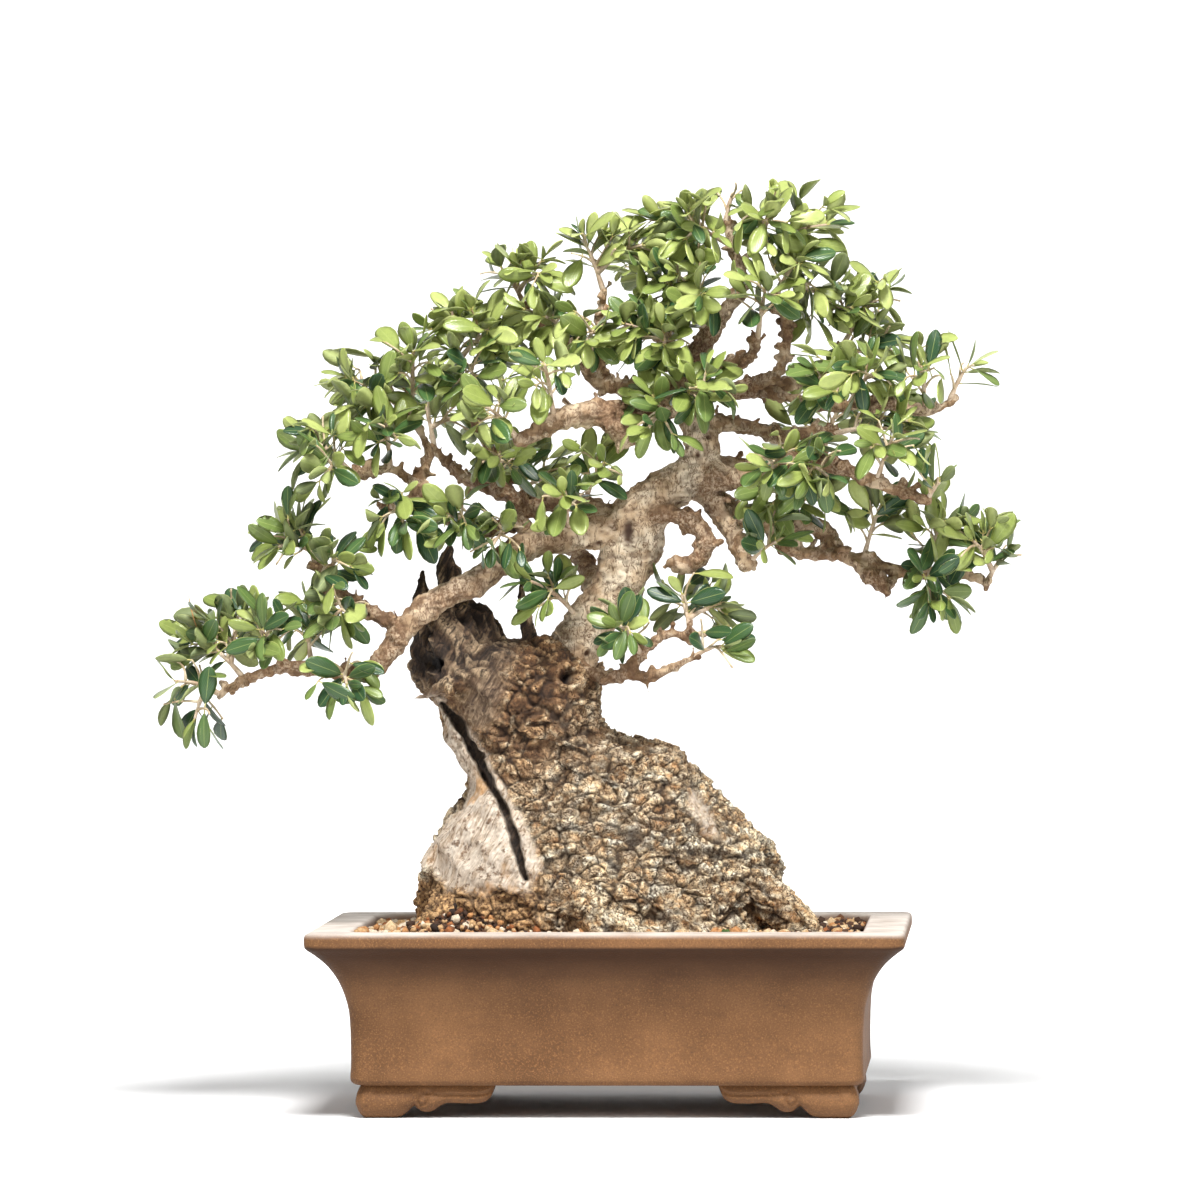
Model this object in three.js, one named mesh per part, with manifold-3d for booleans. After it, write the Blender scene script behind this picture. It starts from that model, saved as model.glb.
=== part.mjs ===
// An old olive bonsai in an oblong pot of brown stoneware.
// Millimetres, +Z up. The origin is on the ground under the middle of the whole plant, +X runs to
// the right along the pot's length, and +Y runs away from its front.
// The pot, its two drain screens, the soil, the trunk with its limbs, and each leafy spray are
// pieces of their own. The tree is drawn in its own frame, with Z from the ground, and stands in
// the pot turned by TREE_TURN.
import * as THREE from 'three';
import { mergeVertices } from 'three/addons/utils/BufferGeometryUtils.js';
import Module from 'manifold-3d';

const wasm = await Module();
wasm.setup();

// ---------------------------------------------------------------- driving dimensions
const CLEARANCE = 0.3; // left between pieces that touch
const POT_CENTRE_X = 16; // the crown leans left, so the pot stands right of the plant's middle
const TREE_TURN = THREE.MathUtils.degToRad(3.3); // the tree's front is turned a little in the pot

const RIM_LENGTH = 400;
const RIM_DEPTH = 290;
const RIM_CORNER = 9; // corner radius of the rim seen from above
const RIM_WIDTH = 29; // flat top of the rim
const POT_HEIGHT = 125;
const FOOT_HEIGHT = 22;
const FLOOR_THICKNESS = 10;
const WALL_THICKNESS = 9;
const INNER_CORNER = 15; // corner radius of the space inside

const DRAIN_HOLE_RADIUS = 9;
const DRAIN_HOLE_X = 85;
const SCREEN_SIZE = 36;
const SCREEN_THICKNESS = 1.5;
const SCREEN_BARS = 3;
const SCREEN_BAR_WIDTH = 3;
const POCKET_HEIGHT = 10; // of what is cut from the soil round a screen, down past its base

const SOIL_LEVEL = 117.5;
const GRAIN_RELIEF = 1.3;

const LEAF_LENGTH = 23;
const LEAF_WIDTH = 12;
const LEAF_THICKNESS = 1.6;
const LEAF_SPREAD = 0.22; // share by which leaves differ in length
const TWIG_RADIUS = 2.1; // where a spray leaves its limb
const SHOOT_RADIUS = 1.15;

// ---------------------------------------------------------------- geometry helpers

/** A closed geometry, placed by a matrix, as a manifold-3d solid. */
function solidOf(geometry, matrix = new THREE.Matrix4()) {
  const bare = geometry.index ? geometry.toNonIndexed() : geometry.clone();
  bare.deleteAttribute('normal');
  bare.deleteAttribute('uv');
  bare.applyMatrix4(matrix);
  const merged = mergeVertices(bare, 1e-4);
  const triVerts = new Uint32Array(merged.index.array);
  if (matrix.determinant() < 0) triVerts.reverse();
  const vertProperties = new Float32Array(merged.attributes.position.array);
  return new wasm.Manifold(new wasm.Mesh({ numProp: 3, vertProperties, triVerts }));
}

/** A solid's surface as a flat-shaded geometry. */
function geometryOf(solid) {
  const { vertProperties, triVerts } = solid.getMesh();
  const indexed = new THREE.BufferGeometry();
  indexed.setAttribute('position', new THREE.Float32BufferAttribute(vertProperties, 3));
  indexed.setIndex([...triVerts]);
  const geometry = indexed.toNonIndexed();
  geometry.computeVertexNormals();
  return geometry;
}

/** The largest body of a solid: loose scraps of a cut are dropped. */
function largestBody(solid) {
  return solid.decompose().reduce((best, body) => (body.volume() > best.volume() ? body : best));
}

/**
 * A closed skin over rings of points that run counter-clockwise seen against the direction of
 * travel. The ends close on a point, which may stand proud of the last ring.
 */
function skin(rings, firstTip, lastTip) {
  const sides = rings[0].length;
  const points = [...rings.flat(), firstTip, lastTip];
  const first = rings.length * sides;
  const last = first + 1;
  const top = (rings.length - 1) * sides;
  const index = [];
  for (let side = 0; side < sides; side++) {
    const next = (side + 1) % sides;
    for (let ring = 0; ring < rings.length - 1; ring++) {
      const low = ring * sides;
      const high = low + sides;
      index.push(low + side, low + next, high + next, low + side, high + next, high + side);
    }
    index.push(first, next, side, last, top + side, top + next);
  }
  return new THREE.BufferGeometry().setFromPoints(points).setIndex(index);
}

/** The middle of a ring of points. */
function middleOf(ring) {
  const sum = ring.reduce((total, point) => total.add(point), new THREE.Vector3());
  return sum.divideScalar(ring.length);
}

/** Park and Miller's generator: the same numbers between 0 and 1 for the same seed. */
function randomFrom(seed) {
  let state = seed;
  return () => {
    state = (state * 48271) % 2147483647;
    return state / 2147483647;
  };
}

/** Joins a list of solids. */
const joined = (solids) => solids.reduce((whole, solid) => whole.add(solid));

// ---------------------------------------------------------------- pot

/** A level rectangle with rounded corners as a ring of points. */
function roundedRectangle(halfX, halfY, radius, z, cornerSteps = 2) {
  const ring = [];
  [[1, 1], [-1, 1], [-1, -1], [1, -1]].forEach(([signX, signY], quarter) => {
    for (let step = 0; step <= cornerSteps; step++) {
      const angle = (quarter + step / cornerSteps) * Math.PI / 2;
      ring.push(new THREE.Vector3(
        signX * (halfX - radius) + radius * Math.cos(angle),
        signY * (halfY - radius) + radius * Math.sin(angle),
        z,
      ));
    }
  });
  return ring;
}

/** A stack of rounded rectangles, each given by its height and its inset from the rim's edge. */
function rectangularLoft(levels, cornerRadius) {
  const rings = levels.map(([z, inset]) =>
    roundedRectangle(RIM_LENGTH / 2 - inset, RIM_DEPTH / 2 - inset, cornerRadius, z));
  return solidOf(skin(rings, middleOf(rings[0]), middleOf(rings.at(-1))));
}

// Height and inset of the outer wall: a nearly upright lower half, a hollow sweep out to the
// rim, and the rim's upright face with its edges rounded off.
const OUTER_WALL = [
  [FOOT_HEIGHT, 31.5], [24.5, 29.4], [62, 28.2], [73, 27.4], [85, 24], [95, 19.5],
  [103.5, 13.8], [109.5, 7.5], [113.5, 2], [116, 0], [123, 0], [POT_HEIGHT, 2],
];
const FLOOR_TOP = FOOT_HEIGHT + FLOOR_THICKNESS;
const BODY_INSET = 28.2;

/** The space inside the pot, or a body that fills it with a gap all round. */
function potInside(gap) {
  return rectangularLoft([
    [FLOOR_TOP + gap, BODY_INSET + WALL_THICKNESS + 3 + gap],
    [FLOOR_TOP + 6, BODY_INSET + WALL_THICKNESS + gap],
    [90, BODY_INSET + WALL_THICKNESS - 1 + gap],
    [POT_HEIGHT - 6, RIM_WIDTH + 1 + gap],
    [POT_HEIGHT + 3, RIM_WIDTH - 2 + gap],
  ], INNER_CORNER);
}

const FOOT_INSET = 33.5; // from the rim's edge to the foot's outer face
const FOOT_THICKNESS = 17;
const FRONT_ARM = 94;
const SIDE_ARM = 76;
const MAIN_LOBE = 33; // length of the lobe that the pot stands on
const SECOND_LOBE = 20;

/**
 * One arm of a cloud foot seen from outside: the main lobe on the ground, a second lobe just clear
 * of it, and a thin web that runs out under the body. It starts at the corner and sinks into
 * the body by `sunk`.
 */
function footArm(length, sunk = 1.5) {
  const arm = new THREE.Shape();
  const second = MAIN_LOBE + SECOND_LOBE;
  arm.moveTo(0, FOOT_HEIGHT + sunk);
  arm.lineTo(0, 9);
  arm.quadraticCurveTo(0, 0, 8, 0);
  arm.lineTo(MAIN_LOBE - 7, 0);
  arm.quadraticCurveTo(MAIN_LOBE, 0, MAIN_LOBE + 1, 9);
  arm.quadraticCurveTo(MAIN_LOBE + 3, 4, MAIN_LOBE + 9, 4);
  arm.quadraticCurveTo(second, 4, second + 2, 12);
  arm.quadraticCurveTo(second + 8, 9.5, second + 14, 11);
  arm.quadraticCurveTo(length - 8, 12, length, FOOT_HEIGHT - 3);
  arm.lineTo(length, FOOT_HEIGHT + sunk);
  arm.closePath();
  return new THREE.ExtrudeGeometry(arm, {
    depth: FOOT_THICKNESS, bevelEnabled: false, curveSegments: 2,
  });
}

/** The L-shaped foot under the corner at -X, -Y: both arms start at that corner. */
function cornerFoot() {
  const corner = new THREE.Vector3(
    -RIM_LENGTH / 2 + FOOT_INSET, -RIM_DEPTH / 2 + FOOT_INSET, 0);
  const uprightX = new THREE.Matrix4().makeRotationX(Math.PI / 2);
  const alongX = new THREE.Matrix4()
    .makeTranslation(corner.x, corner.y + FOOT_THICKNESS, 0).multiply(uprightX);
  const alongY = new THREE.Matrix4().makeTranslation(corner.x, corner.y, 0)
    .multiply(new THREE.Matrix4().makeRotationZ(Math.PI / 2)).multiply(uprightX);
  return solidOf(footArm(FRONT_ARM), alongX).add(solidOf(footArm(SIDE_ARM), alongY));
}

function makePot() {
  let pot = rectangularLoft(OUTER_WALL, RIM_CORNER).subtract(potInside(0));
  const foot = geometryOf(cornerFoot());
  for (const [mirrorX, mirrorY] of [[1, 1], [-1, 1], [1, -1], [-1, -1]]) {
    pot = pot.add(solidOf(foot, new THREE.Matrix4().makeScale(mirrorX, mirrorY, 1)));
  }
  for (const side of [-1, 1]) {
    const hole = new THREE.CylinderGeometry(
      DRAIN_HOLE_RADIUS, DRAIN_HOLE_RADIUS, 3 * FLOOR_THICKNESS, 12);
    const upright = new THREE.Matrix4().makeTranslation(side * DRAIN_HOLE_X, 0, FLOOR_TOP)
      .multiply(new THREE.Matrix4().makeRotationX(Math.PI / 2));
    pot = pot.subtract(solidOf(hole, upright));
  }
  return pot;
}

// ---------------------------------------------------------------- drain screens

/** A square plastic grille over a drain hole: crossed bars moulded as one. */
function makeScreen(centreX) {
  const bars = [];
  const span = SCREEN_SIZE - SCREEN_BAR_WIDTH;
  for (let bar = 0; bar < SCREEN_BARS; bar++) {
    const offset = -span / 2 + span * bar / (SCREEN_BARS - 1);
    const z = FLOOR_TOP + CLEARANCE + SCREEN_THICKNESS / 2;
    bars.push(solidOf(
      new THREE.BoxGeometry(SCREEN_SIZE, SCREEN_BAR_WIDTH, SCREEN_THICKNESS),
      new THREE.Matrix4().makeTranslation(centreX, offset, z)));
    bars.push(solidOf(
      new THREE.BoxGeometry(SCREEN_BAR_WIDTH, SCREEN_SIZE, SCREEN_THICKNESS),
      new THREE.Matrix4().makeTranslation(centreX + offset, 0, z)));
  }
  return joined(bars);
}

// ---------------------------------------------------------------- trunk and limbs

// The stump's outline: height, left edge, right edge, and half its depth.
const STUMP = [
  [88, -112, 102, 72], [117, -130, 121, 89], [134, -132, 117, 90], [150, -132, 113, 88],
  [163, -133, 111, 84], [179, -128, 105, 80], [193, -118, 91, 75], [207, -106, 73, 69],
  [221, -101, 62, 64], [234, -106, 52, 60], [244, -111, 43, 55], [250, -114, 23, 53],
  [255, -115, 1, 51], [267, -119, -11, 50], [283, -130, -16, 48], [299, -139, -18, 44],
  [311, -138, -34, 38], [318, -130, -52, 29],
];
const LEFT_LOBE = [
  [292, -136, -66, 40], [306, -139, -70, 37], [319, -137, -75, 33], [331, -132, -80, 28],
  [340, -126, -86, 22], [346, -118, -94, 13],
];
const STUMP_SIDES = 24;
const LOBE_SIDES = 10;
const THICK_LIMB = 8; // root radius from which a limb has five sides and not four

/** Plates and furrows of old bark, in millimetres proud of the outline. */
function barkRelief(angle, z) {
  return 2.2 * Math.sin(3 * angle + z / 24) + 2.4 * Math.sin(8 * angle - z / 12 + 1.3)
    + 2.0 * Math.sin(13 * angle + z / 5) * Math.cos(z / 9);
}

const SQUARENESS = 2 / 2.3; // power of the squared-off ovals that the stump's sections are

/** A body of level rings, each a squared-off oval between its left and right edge. */
function barkLoft(outline, sides, grow) {
  const rings = outline.map(([z, left, right, halfDepth]) => {
    const ring = [];
    for (let side = 0; side < sides; side++) {
      const angle = side * 2 * Math.PI / sides;
      const across = Math.sign(Math.cos(angle)) * Math.abs(Math.cos(angle)) ** SQUARENESS;
      const back = Math.sign(Math.sin(angle)) * Math.abs(Math.sin(angle)) ** SQUARENESS;
      const proud = barkRelief(angle, z) + grow;
      ring.push(new THREE.Vector3(
        (left + right) / 2 + across * ((right - left) / 2 + proud),
        back * (halfDepth + proud),
        z,
      ));
    }
    return ring;
  });
  const floor = middleOf(rings[0]).add(new THREE.Vector3(0, 0, -grow));
  const crest = middleOf(rings.at(-1)).add(new THREE.Vector3(0, 0, 2 + grow));
  return solidOf(skin(rings, floor, crest));
}

/** How far the front of the stump lies before its middle, at a place seen from the front. */
function stumpFront(x, z) {
  const above = STUMP.findIndex(([height]) => height > z);
  const [low, high] = [STUMP[above - 1], STUMP[above]];
  const share = (z - low[0]) / (high[0] - low[0]);
  const [, left, right, halfDepth] = low.map((value, i) =>
    THREE.MathUtils.lerp(value, high[i], share));
  const across = Math.abs(2 * x - left - right) / (right - left);
  const cosine = Math.min(across, 1) ** (1 / SQUARENESS);
  return -halfDepth * Math.sqrt(1 - cosine * cosine) ** SQUARENESS;
}

/** Points [x, z, radius] drawn on the front of the stump, as centre line points of a cut. */
const onStumpFront = (points) => points.map(([x, z, radius]) => [x, stumpFront(x, z), z, radius]);

const END_ROUNDING = 0.5; // how far a limb's rounded end stands out, as a share of its radius

/**
 * A tapering limb along a smooth line through points [x, y, z, radius], knobbly by `lumps` as a
 * share of its radius, with rounded ends.
 */
function limb(points, { sides = 6, lumps = 0.08, grow = 0 } = {}) {
  const line = new THREE.CatmullRomCurve3(
    points.map(([x, y, z]) => new THREE.Vector3(x, y, z)), false, 'centripetal');
  const last = points.length - 1;
  const across = new THREE.Vector3(0, 1, 0);
  const ends = [];
  const rings = points.map(([, , , radius], step) => {
    const centre = line.getPoint(step / last);
    const ahead = line.getTangent(step / last);
    across.addScaledVector(ahead, -across.dot(ahead)).normalize();
    const aside = new THREE.Vector3().crossVectors(ahead, across);
    const past = END_ROUNDING * radius + grow;
    if (step === 0) ends.push(centre.clone().addScaledVector(ahead, -past));
    if (step === last) ends.push(centre.clone().addScaledVector(ahead, past));
    return Array.from({ length: sides }, (_, side) => {
      const angle = side * 2 * Math.PI / sides;
      const lump = 1 + lumps * Math.sin(2 * angle + 2.1 * step) * Math.cos(1.7 * step);
      const reach = radius * lump + grow;
      return centre.clone()
        .addScaledVector(across, reach * Math.cos(angle))
        .addScaledVector(aside, reach * Math.sin(angle));
    });
  });
  return solidOf(skin(rings, ...ends));
}

// Centre lines of the limbs: [x, y, z, radius] from the root of each outwards.
const UPPER_TRUNK = [
  [-34, 0, 282, 27], [-28, 0, 300, 24.5], [-22, 2, 320, 21], [-8, 4, 345, 18.5], [5, 4, 368, 19.5],
  [14, 2, 388, 21], [19, 0, 402, 20], [31, -2, 415, 17], [48, -4, 428, 15], [59, -4, 441, 13],
  [58, -2, 460, 12], [53, 2, 480, 11], [53, 6, 500, 9.5], [60, 10, 515, 7.5], [74, 12, 538, 6],
  [88, 10, 560, 5], [82, 6, 585, 3.6], [77, 4, 602, 3],
];
const LIMBS = [
  // the low left branch, round the front of the stump's left lobe
  [[0, -2, 392, 12], [-30, -10, 389, 10.5], [-68, -20, 378, 9.5], [-92, -26, 359, 9.5],
    [-118, -31, 346, 9], [-140, -35, 328, 8.5], [-155, -37, 308, 7.5], [-167, -38, 297, 6.6],
    [-185, -36, 296, 5], [-205, -30, 299, 4.6], [-225, -24, 300, 4.4], [-243, -20, 295, 3.8],
    [-258, -18, 288, 3.2], [-268, -16, 282, 2.6]],
  [[-143, -34, 327, 5.5], [-165, -24, 337, 4.8], [-182, -10, 346, 4.2], [-192, 0, 355, 3.8],
    [-204, 8, 371, 3]],
  // the left branches above it
  [[-52, -15, 384, 7], [-64, -8, 397, 6], [-90, 2, 392, 5.6], [-115, 8, 403, 5.2],
    [-133, 10, 412, 4.6], [-157, 12, 408, 3.4]],
  [[-131, 10, 411, 4.2], [-131, 12, 426, 3.6], [-126, 16, 445, 3.1], [-140, 20, 472, 2.6]],
  [[-131, 11, 420, 3.2], [-150, 6, 434, 3], [-178, 2, 429, 2.5]],
  [[0, 6, 400, 9], [-20, 12, 410, 7], [-40, 20, 411, 6], [-58, 26, 407, 6], [-72, 31, 417, 5.5],
    [-85, 36, 434, 5], [-86, 40, 452, 4.4], [-97, 42, 470, 3.6], [-104, 40, 492, 2.8]],
  // the branch that runs left from the head of the trunk, with its knob
  [[55, 0, 478, 9.5], [20, -14, 474, 8.5], [-8, -26, 472, 8], [-35, -34, 468, 7],
    [-52, -40, 458, 6], [-66, -46, 452, 4.6]],
  [[-4, -24, 473, 8], [3, -26, 462, 8], [10, -24, 451, 7]],
  [[55, 5, 494, 8], [25, 16, 488, 6.4], [5, 26, 490, 5.8], [-16, 34, 498, 5],
    [-24, 39, 515, 4.3], [-46, 44, 531, 3.5], [-62, 46, 547, 2.8]],
  [[-6, 30, 494, 4.6], [-10, 20, 512, 3.6], [-8, 10, 532, 2.9], [-6, 2, 556, 2.4]],
  // the right branches
  [[58, -2, 465, 7.5], [80, 10, 464, 6], [98, 20, 461, 5.5], [115, 28, 456, 5],
    [130, 35, 459, 4.4], [152, 42, 457, 3.2]],
  [[56, -4, 438, 10], [78, -14, 427, 8.8], [95, -22, 432, 7.8], [108, -28, 440, 7],
    [122, -34, 438, 6.4], [142, -38, 438, 5.8], [160, -41, 432, 5.2], [178, -42, 424, 4.6],
    [196, -42, 417, 3.8], [214, -42, 411, 3]],
  [[52, -4, 428, 9], [68, -8, 412, 8], [76, -12, 397, 7.4], [84, -16, 383, 6.8],
    [91, -20, 367, 6]],
  [[24, -12, 404, 8], [44, -19, 402, 7], [57, -21, 396, 6.6], [63, -21, 385, 6.4],
    [58, -20, 374, 6.2], [48, -18, 368, 6], [40, -17, 372, 5]],
  [[52, 0, 424, 10], [72, 6, 412, 8], [90, 12, 401, 7.4], [112, 16, 397, 6.8],
    [132, 18, 396, 6.4], [146, 18, 389, 5.8], [155, 16, 376, 5.4], [170, 14, 369, 5],
    [190, 12, 365, 4.5], [210, 10, 361, 4], [228, 8, 361, 3.5], [244, 6, 360, 3],
    [256, 4, 354, 2.5]],
  [[104, 14, 396, 5.4], [116, 6, 380, 4.6], [131, 4, 376, 4.5], [150, 10, 375, 4.4]],
  [[166, 12, 368, 5], [178, 8, 358, 5], [187, 4, 350, 4]],
  [[55, 4, 487, 8], [85, 14, 487, 6.2], [108, 22, 488, 5.6], [130, 30, 496, 4.8],
    [150, 36, 502, 4], [156, 40, 517, 3]],
  [[104, 20, 487, 4.6], [120, 8, 482, 4], [135, -4, 478, 3.8], [152, -12, 475, 3.7],
    [173, -17, 478, 3.5], [195, -21, 475, 3.2], [212, -23, 471, 2.9], [233, -24, 481, 2.4]],
  [[90, 16, 487, 4.2], [112, 4, 499, 3.8], [118, -2, 513, 3.5], [117, -6, 536, 3],
    [110, -9, 554, 2.4]],
  [[58, 9, 509, 6], [75, -1, 502, 5], [91, -11, 507, 4.2], [98, -17, 522, 3.2]],
  // the low shoot on the right, from the foot of the upper trunk
  [[-24, -14, 300, 6], [-5, -26, 292, 4.4], [10, -33, 295, 4], [22, -36, 292, 3.6],
    [38, -38, 299, 3.2], [56, -38, 307, 2.5]],
  [[8, -32, 295, 3.2], [20, -30, 311, 2.8], [36, -28, 321, 2.6], [58, -26, 322, 2.3],
    [78, -24, 327, 1.9]],
  // the branches at the back
  [[-8, 10, 345, 10], [-18, 40, 366, 8], [-30, 72, 384, 6.4], [-46, 104, 398, 4.6],
    [-60, 116, 410, 3]],
  [[54, 10, 490, 8], [42, 40, 512, 6.4], [28, 72, 534, 4.8], [22, 96, 552, 3]],
  [[50, 4, 430, 9], [78, 42, 436, 7], [104, 78, 434, 5.6], [128, 108, 436, 4.4],
    [148, 114, 446, 3]],
  [[-70, 30, 416, 5.4], [-92, 62, 424, 4.6], [-112, 92, 436, 3.8], [-126, 108, 452, 2.8]],
];
// Dead stubs and splinters on the left lobe, and one snag beside the upper trunk.
const JINS = [
  [[-126, -2, 318, 9], [-131, -3, 336, 7], [-132, -2, 352, 5.6], [-129, 0, 366, 2.6]],
  [[-110, 4, 332, 10], [-113, 5, 352, 8.4], [-115, 6, 368, 6.6], [-112, 6, 384, 2.6]],
  [[-56, -2, 306, 6], [-59, -4, 326, 4.4], [-64, -4, 343, 3.8], [-63, -2, 361, 1.4]],
];
// Roots that swell out of the base of the stump and dive into the soil.
const ROOTS = [
  [[94, 22, 146, 26], [126, 34, 128, 15], [146, 42, 100, 8]],
  [[88, -46, 158, 24], [122, -60, 134, 13], [148, -68, 106, 7]],
  [[-10, -58, 136, 34], [-8, -78, 122, 22], [-6, -94, 100, 12]],
  [[-98, -34, 138, 30], [-116, -46, 122, 20], [-132, -54, 100, 12]],
  [[-96, 36, 138, 28], [-118, 48, 122, 18], [-134, 54, 100, 11]],
  [[20, 58, 138, 32], [24, 78, 120, 20], [28, 93, 100, 11]],
];
// The open crack between the bare wood and the bark, down the front of the stump.
const CRACK = onStumpFront([
  [-117, 277, 3.5], [-100, 250, 5.4], [-84, 222, 5.4], [-73, 192, 4.8], [-60, 160, 2.4],
]);
// The rotted hollow at the outer edge of the left lobe.
const HOLLOW = onStumpFront([[-132, 292, 9], [-122, 301, 12], [-108, 309, 8]]);

/** The whole tree without its sprays, or the same grown all over by `grow`. */
function makeTrunk(grow = 0) {
  const limbs = [
    limb(UPPER_TRUNK, { sides: 9, lumps: 0.06, grow }),
    ...LIMBS.map((points) => limb(points, { sides: points[0][3] > THICK_LIMB ? 5 : 4, grow })),
    ...JINS.map((points) => limb(points, { sides: 5, lumps: 0.22, grow })),
    ...ROOTS.map((points) => limb(points, { sides: 6, lumps: 0.14, grow })),
  ];
  const stump = barkLoft(STUMP, STUMP_SIDES, grow).add(barkLoft(LEFT_LOBE, LOBE_SIDES, grow));
  const hollows = [CRACK, HOLLOW].map((points) => limb(points, { sides: 4, lumps: 0.1 }));
  return joined([stump, ...limbs]).subtract(joined(hollows));
}

// ---------------------------------------------------------------- leafy sprays

// Each spray: where its shoot leaves the limb, the shoot's tip, and the tips of its side shoots.
const SPRAYS = [
  // low left branch
  [[-268, -16, 282], [-298, -20, 291], [-284, -30, 266]],
  [[-250, -19, 291], [-284, -8, 320], [-256, 6, 334]],
  [[-225, -24, 300], [-238, -56, 326]],
  [[-205, -30, 299], [-210, -4, 336]],
  [[-184, -36, 296], [-180, -72, 290]],
  [[-172, -18, 341], [-188, -54, 336]],
  [[-203, 7, 369], [-214, 16, 396], [-228, -4, 382]],
  [[-195, 2, 357], [-188, -32, 374]],
  // left branches above it
  [[-176, 2, 429], [-208, -8, 456], [-192, -28, 434]],
  [[-152, 6, 434], [-154, -32, 466]],
  [[-139, 20, 470], [-182, 30, 498], [-168, 0, 478]],
  [[-137, 19, 466], [-136, -8, 514]],
  [[-152, 12, 409], [-142, -30, 398]],
  [[-90, 2, 392], [-112, -34, 402]],
  [[-64, -8, 397], [-82, -52, 382]],
  [[-103, 40, 490], [-110, 34, 542], [-78, 14, 530], [-92, -4, 492]],
  [[-76, 32, 421], [-78, -12, 444]],
  [[-124, 107, 450], [-132, 114, 486], [-104, 122, 470]],
  // branches left of the head
  [[-60, 46, 546], [-76, 44, 572], [-50, 20, 568]],
  [[-24, 39, 515], [-46, 0, 538]],
  [[-64, -45, 453], [-86, -66, 476]],
  [[-40, -36, 466], [-46, -74, 504]],
  [[-6, 3, 554], [-20, 0, 590], [20, -8, 586]],
  [[-8, 12, 528], [-18, -30, 520]],
  [[-30, -10, 389], [-34, -62, 416]],
  [[-20, 2, 326], [-56, -46, 358]],
  [[-20, 12, 410], [-6, -24, 438]],
  // the crown
  [[56, 7, 504], [8, -24, 532], [34, -36, 518]],
  [[66, 11, 525], [28, -18, 568], [60, -38, 552]],
  [[82, 6, 585], [26, 12, 604], [50, -24, 590]],
  [[77, 4, 601], [82, 2, 622]],
  [[85, 8, 574], [146, 14, 600], [104, -32, 602]],
  [[98, -16, 520], [104, -46, 558]],
  [[111, -9, 551], [126, -18, 576], [146, 6, 548]],
  // right branches
  [[155, 39, 513], [186, 34, 556], [152, 8, 544]],
  [[150, 36, 502], [194, 26, 522]],
  [[228, -24, 479], [240, -24, 502]],
  [[212, -23, 471], [208, -50, 502]],
  [[160, -14, 476], [176, -56, 498], [136, -52, 486]],
  [[150, 41, 457], [204, 44, 458], [190, 70, 476]],
  [[212, -42, 412], [220, -48, 424]],
  [[178, -42, 424], [188, -68, 454]],
  [[118, -32, 438], [106, -78, 434], [144, -74, 428]],
  [[112, 16, 397], [140, -14, 416], [104, -26, 420]],
  [[170, 14, 369], [182, 0, 408]],
  [[212, 10, 361], [224, -10, 398], [214, -24, 344]],
  [[254, 4, 355], [268, 0, 376], [244, -20, 384]],
  [[91, -20, 368], [110, -38, 384]],
  [[50, -4, 478], [24, -58, 462], [66, -54, 490]],
  // the low shoots on the right
  [[54, -38, 306], [72, -48, 314]],
  [[52, -27, 322], [46, -14, 348], [74, -14, 340]],
  [[18, -31, 308], [4, -60, 328]],
  // the back
  [[-58, 115, 408], [-74, 118, 440], [-46, 124, 428]],
  [[22, 95, 550], [16, 112, 584], [50, 100, 556]],
  [[146, 113, 445], [158, 120, 478], [124, 124, 462]],
];
const SIDE_SHOOT = 0.3; // share of the shoot at which side shoots leave it
const SIDE_SHOOT_FREE = 0.1; // share of a side shoot that may lie in the wood it forks from
const SHOOT_BOW = 0.08; // bow of a shoot, as a share of its length
const MORE_BOW = 0.4; // share by which the bow grows each time that another way is tried
const SHOOT_TAPER = 0.4; // share of its radius that a shoot loses on its way to the tip
const TIP_PAIR = 0.98; // share of the shoot at which its last pair of leaves stands
const PAIR_SPACING = 13;
const MOST_PAIRS = 3;
const BARE_START = 14; // length of a shoot without leaves
const CROWN_MIDDLE = new THREE.Vector3(0, 20, 380); // leaves face away from it, to the light
const LIGHT = new THREE.Vector3(0, -0.2, 0.6); // they lean this far to it too
const TIP_LEAN = 0.9; // how far forward the last pair leans, for 1 sideways
const LEAN = 0.45;
const TURN_SPREAD = 0.5; // how much the leaves' places round the shoot differ, in radians
const TRIES = 8; // ways tried for a leaf or shoot before it is left out
const TURN_STEP = 0.75;

/**
 * A leaf: a six-cornered outline, widest past its middle, flat below and rising to its midrib
 * above. It grows from `root` in the direction `along`, with its upper side towards `face`.
 */
function leaf(root, along, face, length, grow = 0) {
  const across = new THREE.Vector3().crossVectors(face, along).normalize();
  const up = new THREE.Vector3().crossVectors(along, across).normalize();
  const halfWidth = 0.5 * length * LEAF_WIDTH / LEAF_LENGTH + grow;
  const place = (lengthShare, widthShare, rise) => root.clone()
    .addScaledVector(along, lengthShare * (length + grow))
    .addScaledVector(across, widthShare * halfWidth)
    .addScaledVector(up, rise);
  const outline = [
    place(0, 0, -grow), place(0.36, -0.86, -grow), place(0.72, -0.9, -grow),
    place(1, 0, -grow), place(0.72, 0.9, -grow), place(0.36, 0.86, -grow),
  ];
  const midrib = place(0.52, 0, LEAF_THICKNESS + grow);
  const rising = outline.flatMap((_, i) => [i, (i + 1) % outline.length, outline.length]);
  const underside = [0, 5, 1, 1, 5, 4, 1, 4, 2, 2, 4, 3];
  return new THREE.BufferGeometry().setFromPoints([...outline, midrib])
    .setIndex([...rising, ...underside]);
}

/** Whether a solid is clear of every other one whose box it reaches. */
function isClear(box, solid, others) {
  return others.every((other) =>
    !other.box.intersectsBox(box) || solid.intersect(other.solid).volume() < 1e-6);
}

/** A solid with its box, kept to test what comes near it. */
function placed(solid) {
  const { min, max } = solid.boundingBox();
  return { solid, box: new THREE.Box3(new THREE.Vector3(...min), new THREE.Vector3(...max)) };
}

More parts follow.
